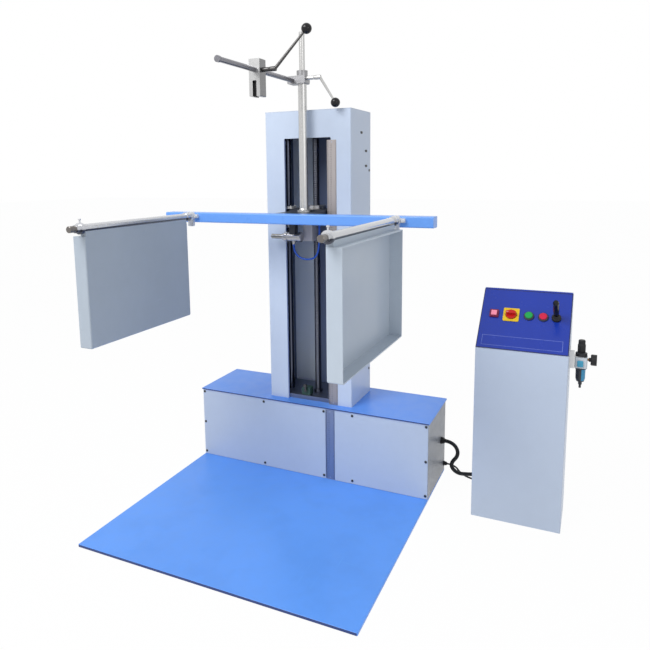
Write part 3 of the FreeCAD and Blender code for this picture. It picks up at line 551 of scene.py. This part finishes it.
# finishes
def make_materials():
    """A stretch's small number is the grain's direction. An end is a colour, a normal and a level, and a
    lining is a colour, the middle and half width of its box in x, and its front and back in y, in metres."""
    look = bpy.context.scene.drop_tester_finish
    # dark is the painted shade colour of the column's inside
    grey, wing, dark = look.body_grey, look.wing_grey, look.lining
    edge_shade_navy = (0.018, 0.045, 0.190)  # painted shade on the front edges of the plate and the lid

    painted_finish("impact_blue", look.bright_blue, 0.42, marks=0.35, spread=0.04,
                   linings=((edge_shade_navy, 0.0, 1.0, -2.0, -1.0265),))
    painted_finish("lid_blue", (0.097, 0.294, 0.860), 0.36, marks=0.15, spread=0.03,
                   linings=((edge_shade_navy, 0.0, 1.0, -2.0, -0.1675),))
    painted_finish("bar_blue", (0.150, 0.360, 0.870), 0.32, marks=0.12, spread=0.03)
    # painted shade: the cabinet's right side sheet, at x 0.580 m, gets a darker grey
    painted_finish("cabinet_grey", grey, 0.40, spread=0.025,
                   linings=(((0.300, 0.312, 0.335), 0.580, 0.0008, -0.1625, 0.2000),))
    # painted light and shade: the column's sheets are a 12 % lighter copy of the body grey, and inside the column
    # they take the painted shade colour
    painted_finish("column_grey", scaled(grey, 1.12), spread=0.025,
                   linings=((dark, 0.0, 0.2075, -0.1168, 0.1268),))
    # painted shade and painted light: the back sheet is dark inside the column, with a light band on its left
    # part where light falls
    painted_finish("column_rear", grey, spread=0.025,
                   linings=((scaled(dark, 0.32), 0.0, 0.2055, -0.1168, 0.1272),
                            ((0.860, 0.930, 1.000), -0.136, 0.057, -0.1168, 0.1272)))
    # painted light: the console is a 5 % lighter copy of the body grey
    painted_finish("console_grey", scaled(grey, 1.05), spread=0.02)
    painted_finish("wing_grey", wing, 0.40, marks=0.12, spread=0.03)
    # painted light: the right tray is an 18 % lighter copy of the wing grey
    painted_finish("wing_grey_lit", scaled(wing, 1.18), 0.40, marks=0.12, spread=0.03)
    painted_finish("panel_blue", look.panel_blue, 0.22, 0.00003, 0.05)
    painted_finish("carriage_dark", (0.034, 0.036, 0.046), 0.45)
    painted_finish("boom_grey", (0.030, 0.034, 0.050), 0.42, spread=0.03,
                   linings=(((0.480, 0.470, 0.520), 0.0, 0.0235, -0.1275, -0.0500),))

    drawn_metal("rule_steel", look.rule, (900.0, 900.0, 18.0), 0.42, 0.08)
    drawn_metal("rule_low", (0.300, 0.335, 0.440), (900.0, 900.0, 18.0), 0.42, 0.08)
    drawn_metal("plate_steel", (0.220, 0.250, 0.330), (14.0, 500.0, 500.0), 0.42)
    drawn_metal("guide_chrome", (0.085, 0.095, 0.130), (60.0, 60.0, 900.0), 0.14, 0.05, 0.00001)
    drawn_metal("screw_steel", (0.150, 0.158, 0.190), (40.0, 40.0, 700.0), 0.30, 0.14)
    # painted reflection: below z 1.24 m the shafts are darker, as where they reflect the dark ground
    drawn_metal("shaft_steel", (0.640, 0.645, 0.665), (70.0, 900.0, 70.0), 0.16, 0.08, 0.00002,
                ends=(((0.100, 0.105, 0.130), (0.0, 0.0, -1.0), -1.2400),
                      ((0.170, 0.155, 0.145), (0.0, -1.0, 0.0), 1.0303)), metal=0.55)
    drawn_metal("rod_chrome", (0.300, 0.295, 0.290), (700.0, 60.0, 60.0), 0.12, 0.06, 0.00001)
    drawn_metal("post_chrome", (0.560, 0.555, 0.545), (60.0, 60.0, 600.0), 0.22, 0.08, 0.00002, metal=0.75)
    drawn_metal("arm_steel", (0.240, 0.238, 0.262), (70.0, 800.0, 70.0), 0.24, 0.12, 0.00002)
    # painted shade: the block is darker past x -0.0145 m on its right side, and near black inside its notch and
    # bore
    drawn_metal("milled_aluminium", (0.430, 0.430, 0.430), (600.0, 16.0, 600.0), 0.34, 0.08,
                ends=(((0.250, 0.250, 0.253), (1.0, 0.0, 0.0), -0.0145),),
                linings=(((0.015, 0.015, 0.016), -0.038, 0.0088, -0.5072, -0.4605),))
    drawn_metal("lever_dark", (0.085, 0.083, 0.082), (70.0, 70.0, 700.0), 0.30, 0.10, 0.00002)
    drawn_metal("cylinder_steel", (0.420, 0.420, 0.440), (700.0, 60.0, 60.0), 0.16, 0.16, metal=0.8)

    cast_finish("motor_paint", (0.035, 0.085, 0.130), 0.5, 0.0)
    cast_finish("bright_zinc", (0.640, 0.645, 0.655), 0.34, 1.0, 0.00005, 0.06)
    cast_finish("housing_alu", (0.700, 0.710, 0.735), 0.36, 0.3, 0.00006, 0.05)
    cast_finish("cast_aluminium", (0.300, 0.300, 0.310), 0.36)
    cast_finish("hub_white", (0.820, 0.825, 0.830), 0.30, 0.7, 0.00004, 0.04)
    cast_finish("nut_steel", (0.560, 0.560, 0.565), 0.32, 1.0, 0.00006)

    moulded_finish("plug_dark", (0.085, 0.092, 0.110), 0.45)
    moulded_finish("lamp_red", (0.170, 0.012, 0.050), 0.25, 0.00002,
                   ends=(((1.0, 0.300, 0.420), SLOPE_OUT, 0.6541),))
    moulded_finish("bezel_dark", (0.050, 0.050, 0.062), 0.25, 0.00002)
    moulded_finish("switch_green", (0.030, 0.070, 0.058), 0.42)
    moulded_finish("matt_black", (0.014, 0.014, 0.016), 0.48, 0.00012)
    moulded_finish("gauge_black", (0.014, 0.014, 0.016), 0.48, 0.00012,
                   ends=(((0.500, 0.260, 0.090), (-1.0, 0.0, 0.0), -1.1905),))
    moulded_finish("gloss_black", (0.008, 0.008, 0.009), 0.14, 0.00002)
    moulded_finish("switch_yellow", (0.830, 0.560, 0.020), 0.28)
    moulded_finish("switch_red", (0.600, 0.014, 0.012), 0.25)
    # painted glow: the green and red caps shine a little, though they are no lamps
    moulded_finish("cap_green", (0.010, 0.330, 0.075), 0.22, 0.00002, 0.08)
    moulded_finish("cap_red", (0.620, 0.013, 0.060), 0.22, 0.00002, 0.08)
    moulded_finish("tube_blue", (0.012, 0.080, 0.460), 0.22, 0.00001)
    moulded_finish("plug_blue", (0.060, 0.330, 0.500), 0.20, 0.00001)
    moulded_finish("regulator_grey", (0.560, 0.600, 0.640), 0.36,
                   ends=(((0.020, 0.021, 0.024), (0.0, 0.0, 1.0), 0.7105),))
    moulded_finish("cable_black", (0.016, 0.017, 0.020), 0.42, 0.00004)
    guarded_bowl("bowl_blue", (0.028, 0.250, 0.450), (0.022, 0.025, 0.032))

    ink_finish("frame_ink", (0.180, 0.240, 0.640))
    ink_finish("navy_ink", (0.006, 0.009, 0.070), 0.3)
    ink_finish("black_ink", (0.018, 0.018, 0.020))
    ink_finish("white_ink", (0.800, 0.810, 0.830))
    ink_finish("dial_white", (0.780, 0.780, 0.760), 0.5)
    ink_finish("needle_red", (0.420, 0.010, 0.010), 0.4)
    clear_glass("dial_glass")


FINISHED_NODES = {
    "impact_blue": "impact_plate",
    "cabinet_grey": "base_cabinet front_panel_left front_panel_right",
    "lid_blue": "base_lid",
    "rule_low": "base_rule",
    "column_grey": "column_shell",
    "column_rear": "column_back",
    "rule_steel": "column_rule",
    "plate_steel": "rod_foot rod_head",
    "guide_chrome": "guide_rods",
    "motor_paint": "lift_motor",
    "switch_green": "limit_switch",
    "lever_dark": "limit_lever block_lever",
    "hub_white": "carriage_bearings",
    "nut_steel": "screw_nut",
    "carriage_dark": "carriage_plate cylinder_hanger",
    "boom_grey": "bar_bracket",
    "bar_blue": "crossbar",
    "housing_alu": "wing_housings",
    "shaft_steel": "wing_shaft_left wing_shaft_right",
    "wing_grey": "wing_tray_left",
    "wing_grey_lit": "wing_tray_right",
    "cylinder_steel": "air_cylinder",
    "rod_chrome": "air_rod",
    "tube_blue": "tube_fitting",
    "matt_black": "cable_glands joystick_base",
    "post_chrome": "post_tube post_rod clamp_lever",
    "cast_aluminium": "cross_clamp",
    "arm_steel": "hold_arm",
    "milled_aluminium": "arm_block",
    "console_grey": "console_body",
    "panel_blue": "console_panel",
    "lamp_red": "pilot_lamp",
    "switch_yellow": "switch_plate",
    "switch_red": "switch_knob",
    "bezel_dark": "button_bezels",
    "cap_green": "green_cap",
    "cap_red": "red_cap",
    "gloss_black": "joystick_stick",
    "bright_zinc": "filter_bracket",
    "regulator_grey": "filter_body",
    "bowl_blue": "filter_bowl",
    "gauge_black": "gauge_case",
    "needle_red": "gauge_needle",
}


class DROPTESTER_OT_finishes(Operator):
    """Give each solid of the frame its finish"""
    bl_idname = "drop_tester.finishes"
    bl_label = "Finishes"

    def execute(self, context):
        make_materials()
        for look, covered in FINISHED_NODES.items():
            for node in covered.split():
                slots = nodes[node].data.materials
                slots.clear()
                slots.append(MATERIALS[look])
        return {"FINISHED"}


# scales
class DROPTESTER_OT_rule_marks(Operator):
    """Millimetre marks and centimetre figures on both rules, counted from the impact plate"""
    bl_idname = "drop_tester.rule_marks"
    bl_label = "Rule marks"

    def execute(self, context):
        half = context.scene.drop_tester_detail.tick_width / 2
        edge, right_share = 0.0012, 0.55
        hole_inset, hole_clear = 0.009, 0.007
        figure_left, figure_size, figure_drop = 0.0138, 0.0062, 0.0022
        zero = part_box("impact_plate")[1].z
        for node in ("base_rule", "column_rule"):
            low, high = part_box(node)
            y = low.y - PRINT_LIFT * MM
            first = math.ceil((low.z - zero) / MM) + 3
            last = math.floor((high.z - zero) / MM) - 3
            count = np.arange(first, last + 1)
            reach = np.where(count % 10 == 0, 0.013, np.where(count % 5 == 0, 0.0095, 0.0065))
            z = zero + count * MM
            marks = [strips(low.x + edge, low.x + reach, z, half, y),
                     strips(high.x - reach * right_share, high.x - edge, z, half, y)]
            tens = np.arange(last // 10, first // 10, -1)
            holes = np.array([low.z + hole_inset, high.z - hole_inset])
            tens = tens[np.abs((zero + tens * 0.01)[:, None] - holes).min(axis=1) > hole_clear]
            figures = []
            for run in np.split(tens, np.flatnonzero(np.diff(tens) < -1) + 1):
                top = zero + float(run[0]) * 0.01
                place = Matrix.Translation((low.x + figure_left, y, top - figure_drop)) @ OUT_OF_FRONT
                figures.append(written("\n".join(map(str, run)), figure_size, place, 0.010 / figure_size))
            for kind, parts in (("_marks", marks), ("_figures", figures)):
                make_piece(node + kind, joined_surfaces(parts), "black_ink", "frame", False)
        return {"FINISHED"}


# lift screw
class DROPTESTER_OT_lift_screw(Operator):
    """Lift screw with its trapezoidal thread: the radius follows (height / lead - angle / turn)"""
    bl_idname = "drop_tester.lift_screw"
    bl_label = "Lift screw"

    def execute(self, context):
        detail = context.scene.drop_tester_detail
        lead, depth = detail.thread_lead, detail.thread_depth
        low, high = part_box("lead_screw")
        crest, journal, collar, edge = 0.016, 0.0125, 0.021, 0.001
        collar_low, thread_low, thread_high = 0.3803, 0.392, 1.588
        rows_per_turn, root_share, flank_share, run_out = 16, 0.38, 0.24, 0.006
        rows = int((thread_high - thread_low) / lead * rows_per_turn)

        def thread(r, h, a):
            turn = (h / lead - a / (2 * np.pi)) % 1.0
            wave = np.clip((np.abs(turn - 0.5) * 2 - root_share) / flank_share, 0.0, 1.0)
            fade = np.clip(np.minimum(h - thread_low, thread_high - h) / run_out, 0.0, 1.0)
            return np.where(r == crest, r - depth * np.maximum(wave, 1.0 - fade), r)

        radius = np.concatenate([[0, journal, journal, collar - edge, collar, collar, collar - edge],
                                 np.full(rows, crest), [journal, journal, journal - edge, 0]])
        height = np.concatenate([[low.z, low.z, collar_low, collar_low, collar_low + edge, thread_low - edge,
                                  thread_low], np.linspace(thread_low, thread_high, rows),
                                 [thread_high, high.z - edge, high.z, high.z]])
        surface = revolve(radius, height, (0.0, -0.025, 0.0), (0, 0, 1), thread, 32)
        piece = make_piece("lift_screw", surface, "screw_steel", "screw")
        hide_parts("lead_screw")
        return {"FINISHED"}


# cover screws
def cover_screw_places():
    """Seat and outward direction of every cover screw, in metres."""
    front = [(x, z) for z in (0.026, 0.184, 0.343) for x in (-0.570, 0.570)]
    front += [(x, z) for z in (0.026, 0.339) for x in (-0.229, 0.229, 0.0875)]
    places = [((x, -0.163, z), (0, -1, 0)) for x, z in front]
    spots = PLUG_PLACES + [(0.113, z) for z in (0.480, 0.800, 1.120, 1.440)]
    return places + [((side * COLUMN_SIDE, y, z), (side, 0, 0)) for side in (-1, 1) for y, z in spots]


class DROPTESTER_OT_cover_screws(Operator):
    """Button-head screws: a dome round a six-sided socket of radius flat / cos(angle from the nearest side)"""
    bl_idname = "drop_tester.cover_screws"
    bl_label = "Cover screws"

    def execute(self, context):
        flat = 0.0019
        dome = np.linspace(0.0, np.pi / 2, 7)
        radius = np.concatenate([[0, 1, 2, 3.2], 3.4 + 2.6 * np.sin(dome), [6.0, 2.5, 2.5, 0]])
        height = np.concatenate([[0.9, 0.9, 2.9, 3.0], 1.0 + 2.0 * np.cos(dome), [0.0, 0.0, -8.0, -8.0]])

        def socket(r, h, a):
            """The rows written with radius 1 and 2 mm are the socket's floor and mouth."""
            side = (a + np.pi / 6) % (np.pi / 3) - np.pi / 6
            return np.where((r == 1 * MM) | (r == 2 * MM), flat / np.cos(side), r)

        parts = [revolve_mm(radius, height, seat, out, socket, 24) for seat, out in cover_screw_places()]
        piece = make_piece("socket_screws", joined_surfaces(parts), "lever_dark", "frame")
        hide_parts("cover_screws")
        return {"FINISHED"}


# cords
def route_curve(name, points, radius, fineness):
    """Smooth spline with the route's points as its control points."""
    curve = bpy.data.curves.new(name, "CURVE")
    curve.dimensions = "3D"
    curve.resolution_u = fineness
    curve.bevel_depth = radius
    curve.bevel_resolution = 6
    curve.use_fill_caps = True
    spline = curve.splines.new("NURBS")
    spline.points.add(len(points) - 1)
    for knot, p in zip(spline.points, points):
        knot.co = (p[0] * MM, p[1] * MM, p[2] * MM, 1.0)
    spline.order_u = 3
    spline.use_endpoint_u = True
    return new_object(name, curve)


def route_points(name, points, fineness):
    """Points along the route's spline, read from the curve with no bevel."""
    guide = route_curve(name, points, 0.0, fineness)
    bpy.context.view_layer.update()
    line = bpy.data.meshes.new_from_object(guide)
    path = vertex_points(line)
    bpy.data.meshes.remove(line)
    bpy.data.objects.remove(guide)
    return path


CONDUIT = [(598, 79, 186), (638, 79, 186), (668, 79, 132), (622, 81, 74), (652, 86, 34), (700, 108, 26),
           (780, 150, 25), (880, 155, 40), (880, 61, 40)]
POWER_CABLE = [(598, 140, 45), (635, 140, 45), (665, 132, 12), (720, 110, 6), (780, 112, 8),
               (840, 118, 30), (840, 61, 30)]
AIR_TUBE = [(-54, -160, 1111), (-54, -160, 1084), (-32, -160, 1054), (14, -160, 1042),
            (58, -160, 1056), (74, -160, 1108), (74, -160, 1199)]


class DROPTESTER_OT_cords(Operator):
    """Corrugated conduit, power cable and air tube, each along its route's spline"""
    bl_idname = "drop_tester.cords"
    bl_label = "Cords"

    def execute(self, context):
        detail = context.scene.drop_tester_detail
        conduit_radius, cable_radius = 0.009, 0.004
        path = route_points("conduit_route", CONDUIT, 160)
        run = np.concatenate([[0], np.cumsum(np.linalg.norm(np.diff(path, axis=0), axis=1))])
        wave = 0.5 + 0.5 * np.cos(2 * np.pi * run / detail.conduit_pitch)
        radius = conduit_radius - detail.conduit_groove * np.clip(wave * 1.6 - 0.3, 0.0, 1.0)
        conduit = make_piece("corrugated_conduit", tube_along(path, radius, 20), "cable_black", "frame",
                             sharp=80.0)
        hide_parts("conduit")
        for name, points, real, body, slot, lay, node in (
                ("mains_cable", POWER_CABLE, 0.3056, "frame", "cable_black", "loose", "power_cable"),
                ("blue_air_tube", AIR_TUBE, 0.2965, "carriage", "tube_blue", "hanging", "air_tube")):
            cord = route_curve(name, points, cable_radius, 24)
            cord.data.materials.append(MATERIALS[slot])
            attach(cord, body)
            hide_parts(node)
        return {"FINISHED"}


class DROPTESTER_OT_tube_collars(Operator):
    """Release collars where the air tube enters the cylinder ports: small turned rings"""
    bl_idname = "drop_tester.tube_collars"
    bl_label = "Tube collars"

    def execute(self, context):
        radius = (4.15, 5.6, 6.1, 6.1, 5.4, 4.15, 4.15)
        height = (0.0, 0.0, 0.4, 1.8, 2.6, 2.6, 0.0)
        parts = [revolve_mm(radius, height, (x, -0.160, z), (0, 0, -1), None, 32)
                 for x, z in ((-0.054, 1.1111), (0.074, 1.1991))]
        make_piece("tube_collars", joined_surfaces(parts), "tube_blue", "carriage")
        return {"FINISHED"}


# hold-down knobs
class DROPTESTER_OT_ball_knobs(Operator):
    """Black ball knobs: a sphere with a shallow moulding line round its middle and a collar at the handle"""
    bl_idname = "drop_tester.ball_knobs"
    bl_label = "Ball knobs"

    def execute(self, context):
        ball_radius, collar_radius, collar_start, collar_end = 0.0203, 0.0066, -0.0185, -0.0193
        line_depth, line_width = 0.0002, 0.0004
        polar = np.linspace(0.0, np.pi, 41)
        radius = ball_radius * np.sin(polar)
        height = -ball_radius * np.cos(polar)
        radius = np.where((height < collar_start) & (radius > 0), np.maximum(radius, collar_radius), radius)
        height = np.maximum(height, collar_end)
        radius = radius - line_depth * np.exp(-(height / line_width) ** 2)
        radius[[0, -1]] = 0.0
        for name, body, tip, ball in (
                ("clamp_knob", "clamp_handle", (84.0, -160.0, 1836.3), (150.0, -148.0, 1728.0)),
                ("block_knob", "block_handle", (40.0, -484.0, 1828.0), (160.0, -450.0, 1970.0))):
            centre = np.array(ball) * MM
            surface = revolve(radius, height, centre, centre - np.array(tip) * MM)
            make_piece(name, surface, "gloss_black", body)
        return {"FINISHED"}


# console details
class DROPTESTER_OT_joystick_boot(Operator):
    """Ribbed rubber boot: a cone whose radius swells in folds"""
    bl_idname = "drop_tester.joystick_boot"
    bl_label = "Joystick boot"

    def execute(self, context):
        wall, fold_count = 0.8, 3.0
        t = np.linspace(0.0, 1.0, 49)
        folds = 1.2 * np.cos(2 * np.pi * fold_count * t) * (1 - 0.6 * t)
        outer = 14.3 - 5.2 * t + folds
        rise = 11.3 + 15.0 * t
        radius = np.concatenate([outer, outer[::-1] - wall, outer[:1]])
        height = np.concatenate([rise, rise[::-1], rise[:1]])
        surface = revolve_mm(radius, height, on_slope(294, 165, 0), SLOPE_OUT, None, 40)
        boot = make_piece("joystick_boot", surface, "matt_black", "frame", sharp=80.0)
        boot.parent = None
        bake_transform(boot)
        return {"FINISHED"}


class DROPTESTER_OT_switch_marks(Operator):
    """Figures 0 and 1 and a ring on the switch plate, and a pointer line on the red grip"""
    bl_idname = "drop_tester.switch_marks"
    bl_label = "Switch marks"

    def execute(self, context):
        ring_foot, figure_level, grip_level = 3.9, 4.1, 26.15  # mm out of the sloped face
        tilt = Matrix.Rotation(math.radians(45), 4, "X")
        parts = []
        for text, u, s in (("0", 96.5, 162.3), ("1", 119.6, 187.6)):
            place = Matrix.Translation(Vector(on_slope(u, s, figure_level))) @ tilt
            parts.append(written(text, 0.0075, place, align="CENTER"))
        make_piece("switch_figures", joined_surfaces(parts), "black_ink", "frame", False)
        ring = revolve_mm((21.6, 22.6, 22.6, 21.6, 21.6), (0.0, 0.0, 0.4, 0.4, 0.0),
                          on_slope(121, 165, ring_foot), SLOPE_OUT, None, 64)
        make_piece("switch_ring", ring, "black_ink", "frame")
        pointer = slope_quads([(103, 112, 164.2, 165.8)], grip_level)
        make_piece("switch_pointer", pointer, "white_ink", "main_switch", False)
        return {"FINISHED"}


class DROPTESTER_OT_panel_lines(Operator):
    """Dark border round the console's sloped face and a thin empty frame below the buttons"""
    bl_idname = "drop_tester.panel_lines"
    bl_label = "Panel lines"

    def execute(self, context):
        for name, ink, u0, u1, s0, s1, wide in (
                ("panel_border", "navy_ink", 0.8, 349.2, 0.8, 289.2, 3.0),
                ("panel_frame", "frame_ink", 20.0, 326.0, 16.0, 62.0, 1.3)):
            bars = ((u0, u1, s0, s0 + wide), (u0, u1, s1 - wide, s1),
                    (u0, u0 + wide, s0 + wide, s1 - wide), (u1 - wide, u1, s0 + wide, s1 - wide))
            make_piece(name, slope_quads(bars, PRINT_LIFT), ink, "frame", False)
        return {"FINISHED"}


class DROPTESTER_OT_side_plugs(Operator):
    """Oblong plugs under three screws of the column's right side: superellipses of power four"""
    bl_idname = "drop_tester.side_plugs"
    bl_label = "Side plugs"

    def execute(self, context):
        outline = superellipse(0.5, 0.0150, 0.0052, 48)
        share, proud = (0.0, 1.0, 1.0, 0.94, 0.0), (0.0, 0.0, 0.5, 0.8, 0.8)
        parts = [stepped_cap((COLUMN_SIDE, y, z), (1, 0, 0), (0, 1, 0), outline, share, proud)
                 for y, z in PLUG_PLACES]
        make_piece("side_plugs", joined_surfaces(parts), "plug_dark", "frame")
        return {"FINISHED"}


class DROPTESTER_OT_port_plug(Operator):
    """Blue plug pressed over the regulator's front port, its square rounded by a superellipse"""
    bl_idname = "drop_tester.port_plug"
    bl_label = "Port plug"

    def execute(self, context):
        outline = superellipse(0.25, 0.0108, 0.0125, 64)
        share, proud = (0.0, 1.0, 1.0, 0.92, 0.0), (0.05, 0.05, 1.4, 2.0, 2.0)
        cap = stepped_cap((1.1610, -0.126, 0.686), (0, -1, 0), (1, 0, 0), outline, share, proud)
        make_piece("port_plug", cap, "plug_blue", "frame")
        return {"FINISHED"}


class DROPTESTER_OT_regulator_knob(Operator):
    """Regulator knob: the CAD knob's profile, its grip grooved between rounded ribs with the angle"""
    bl_idname = "drop_tester.regulator_knob"
    bl_label = "Regulator knob"

    def execute(self, context):
        ribs = context.scene.drop_tester_detail.knob_ribs
        base, groove, stem = 727.3, 0.0007, 0.0125
        radius = (0, 5, 5, 13.6, 14.5, 14.5, 14.5, 13.4, 12.7, 12.7, 12.7, 12.0, 10.8, 9.0, 0)
        height = (715, 715, base, base, base + 1, base + 14, base + 29, base + 31, base + 32, base + 38,
                  base + 44, base + 46.5, base + 48, base + 48, base + 48)

        def ribbed(r, h, a):
            grip = (h > (base + 0.5) * MM) & (h < (base + 45) * MM) & (r > stem)
            return np.where(grip, r - groove * np.clip(0.5 - 0.9 * np.cos(ribs * a), 0.0, 1.0), r)

        surface = revolve_mm(radius, height, (1.163, -0.100, 0.0), (0, 0, 1), ribbed, 144)
        piece = make_piece("ribbed_knob", surface, "matt_black", "regulator", sharp=50.0)
        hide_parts("filter_knob")
        return {"FINISHED"}


class DROPTESTER_OT_gauge_dial(Operator):
    """Gauge face with marks and figures over three quarters of a turn, and its window"""
    bl_idname = "drop_tester.gauge_dial"
    bl_label = "Gauge dial"

    def execute(self, context):
        centre = np.array([1.186, -0.100, 0.699])
        front = centre + np.array([0.02724, 0.0, 0.0])
        start, sweep, gaps = 225, 270, 50  # degrees, degrees, spaces between marks
        figure_size, figure_radius, figure_drop = 0.0036, 0.0100, 0.0012

        def disc(name, rim, height, look):
            surface = revolve_mm((0, rim, rim, 0), height, centre, (1, 0, 0), None, 64)
            make_piece(name, surface, look, "frame")

        disc("dial_face", 18.45, (27.02, 27.02, 27.2, 27.2), "dial_white")
        count = np.arange(gaps + 1)
        angle = np.radians(start - count * sweep / gaps)
        inner = np.where(count % 5 == 0, 12.6, 14.4) * MM
        outer = np.full(gaps + 1, 0.0165)
        half = np.where(count % 5 == 0, 0.32, 0.16) * MM
        out = np.stack([0 * angle, np.cos(angle), np.sin(angle)], axis=-1)
        side = np.stack([0 * angle, -np.sin(angle), np.cos(angle)], axis=-1)
        corners = [front + out * r[:, None] + side * (k * half)[:, None]
                   for r, k in ((inner, -1), (outer, -1), (outer, 1), (inner, 1))]
        marks = np.stack(corners, axis=1).reshape(-1, 3), np.arange(4 * len(count)).reshape(-1, 4)
        figures = []
        facing = Matrix.Rotation(math.radians(90), 4, "Z") @ OUT_OF_FRONT
        for k in range(0, 11, 2):
            a = math.radians(start - sweep / 10 * k)
            spot = Vector(front) + Vector((0, math.cos(a) * figure_radius,
                                           math.sin(a) * figure_radius - figure_drop))
            figures.append(written(str(k), figure_size, Matrix.Translation(spot) @ facing, align="CENTER"))
        make_piece("dial_marks", marks, "black_ink", "frame", False)
        make_piece("dial_figures", joined_surfaces(figures), "black_ink", "frame", False)
        disc("dial_window", 18.4, (31.2, 31.2, 32.2, 32.4), "dial_glass")
        return {"FINISHED"}


# stage
def area_lamp(name, at, towards, power, size):
    lamp = bpy.data.lights.new(name, "AREA")
    lamp.energy = power
    lamp.shape = "DISK"
    lamp.size = size
    carrier = new_object(name, lamp)
    carrier.location = at
    carrier.rotation_euler = (Vector(towards) - Vector(at)).to_track_quat("-Z", "Y").to_euler()


def white_for(tree, rays, share, plain, kind, end):
    """Mix a white shader of this kind over the plain one, by share, for the given rays only."""
    seen = tree.nodes.new("ShaderNodeLightPath").outputs
    shown = seen[rays[0]]
    for ray in rays[1:]:
        shown = arithmetic(tree, "MAXIMUM", shown, seen[ray])
    white = add_node(tree, kind, None, Color=WHITE, Strength=1.0)
    mixed = add_node(tree, "MixShader", None, i0=times(tree, shown, share), i1=plain.outputs[0],
                     i2=white.outputs[0])
    fill(tree, next(n for n in tree.nodes if n.type == end), Surface=mixed.outputs[0])


def white_floor():
    """Large flat grid under the object; it looks white and keeps soft shadows."""
    reach, lines, level = 30.0, 13, -0.0006
    x, y = np.meshgrid(*[np.linspace(-reach, reach, lines)] * 2, indexing="ij")
    points = np.stack([x, y, np.full_like(x, level)], axis=-1).reshape(-1, 3)
    mesh = bpy.data.meshes.new("white_floor")
    mesh.from_pydata(points.tolist(), [], grid_faces(lines, lines)[:, ::-1].tolist())
    floor = new_object("white_floor", mesh)
    tree, shader, _ = blank_material("floor_white")
    fill(tree, shader, Base_Color=(0.86, 0.86, 0.87, 1.0), Roughness=0.7)
    white_for(tree, ("Is Camera Ray", "Is Glossy Ray"), 0.975, shader, "Emission", "OUTPUT_MATERIAL")
    mesh.materials.append(MATERIALS["floor_white"])


def studio_sky(strength):
    """White to the eye and to reflections, softer as light."""
    world = bpy.data.worlds.new("studio")
    bpy.context.scene.world = world
    world.use_nodes = True
    tree = world.node_tree
    back = next(n for n in tree.nodes if n.type == "BACKGROUND")
    fill(tree, back, Color=(0.93, 0.965, 1.0, 1.0), Strength=strength)
    white_for(tree, ("Is Camera Ray", "Is Transmission Ray", "Is Glossy Ray"), 1.0, back, "Background",
              "OUTPUT_WORLD")


def photo_camera():
    """Camera at the photograph's viewing angle; yaw, pitch and roll turn it, the shifts frame it."""
    place = (1.1937, -2.6463, 1.4263)
    yaw, pitch, roll = math.radians(24.864), math.radians(-8.332), math.radians(-0.680)
    picture, focal, middle_x, middle_y = 650, 615.415, 313.08, 264.04  # pixels
    ahead = Vector((-math.sin(yaw) * math.cos(pitch), math.cos(yaw) * math.cos(pitch), math.sin(pitch)))
    right = ahead.cross(Vector((0, 0, 1))).normalized()
    up = right.cross(ahead)
    right, up = (right * math.cos(roll) + up * math.sin(roll), up * math.cos(roll) - right * math.sin(roll))
    camera = bpy.data.cameras.new("photo_view")
    camera.lens = focal / picture * 36.0
    camera.shift_x = (picture / 2 - middle_x) / picture
    camera.shift_y = (middle_y - picture / 2) / picture
    camera.clip_end = 50.0
    carrier = new_object("photo_view", camera)
    turned = Matrix((right, up, -ahead)).transposed().to_4x4()
    carrier.matrix_world = Matrix.Translation(place) @ turned
    bpy.context.scene.camera = carrier


class DROPTESTER_OT_stage(Operator):
    """Floor, soft studio light, and the camera"""
    bl_idname = "drop_tester.stage"
    bl_label = "Stage"

    def execute(self, context):
        stage = context.scene.drop_tester_stage
        white_floor()
        studio_sky(stage.sky)
        area_lamp("key_lamp", (-1.2, -3.4, 4.2), (0.1, -0.2, 0.7), stage.key, 2.6)
        area_lamp("fill_lamp", (3.6, -2.4, 2.2), (0.2, 0.0, 0.8), stage.fill, 2.2)
        photo_camera()
        context.scene.view_settings.view_transform = "Standard"
        return {"FINISHED"}


STEPS = ("finishes", "rule_marks", "lift_screw", "cover_screws", "cords", "tube_collars", "ball_knobs",
         "joystick_boot", "switch_marks", "panel_lines", "side_plugs", "port_plug", "regulator_knob",
         "gauge_dial", "stage")
SETTINGS = {"drop_tester_finish": FinishSettings, "drop_tester_detail": DetailSettings,
            "drop_tester_stage": StageSettings}


class DROPTESTER_PT_pieces(Panel):
    """Sidebar list of the dressing steps"""
    bl_idname = "DROPTESTER_PT_pieces"
    bl_label = "Drop Tester"
    bl_space_type = "VIEW_3D"
    bl_region_type = "UI"
    bl_category = "Drop Tester"

    def draw(self, context):
        for name, group in SETTINGS.items():
            box = self.layout.box()
            for key in group.__annotations__:
                box.prop(getattr(context.scene, name), key)
        for step in STEPS:
            self.layout.operator("drop_tester." + step)


CLASSES = (*SETTINGS.values(), DROPTESTER_OT_finishes, DROPTESTER_OT_rule_marks, DROPTESTER_OT_lift_screw,
           DROPTESTER_OT_cover_screws, DROPTESTER_OT_cords, DROPTESTER_OT_tube_collars,
           DROPTESTER_OT_ball_knobs, DROPTESTER_OT_joystick_boot, DROPTESTER_OT_switch_marks,
           DROPTESTER_OT_panel_lines, DROPTESTER_OT_side_plugs, DROPTESTER_OT_port_plug,
           DROPTESTER_OT_regulator_knob, DROPTESTER_OT_gauge_dial, DROPTESTER_OT_stage, DROPTESTER_PT_pieces)


def register():
    for cls in CLASSES:
        bpy.utils.register_class(cls)
    for name, group in SETTINGS.items():
        setattr(bpy.types.Scene, name, PointerProperty(type=group))


def unregister():
    for name in SETTINGS:
        delattr(bpy.types.Scene, name)
    for cls in reversed(CLASSES):
        bpy.utils.unregister_class(cls)


def main():
    register()
    for step in STEPS:
        getattr(bpy.ops.drop_tester, step)()
    bpy.context.view_layer.update()


if __name__ == "__main__":
    main()
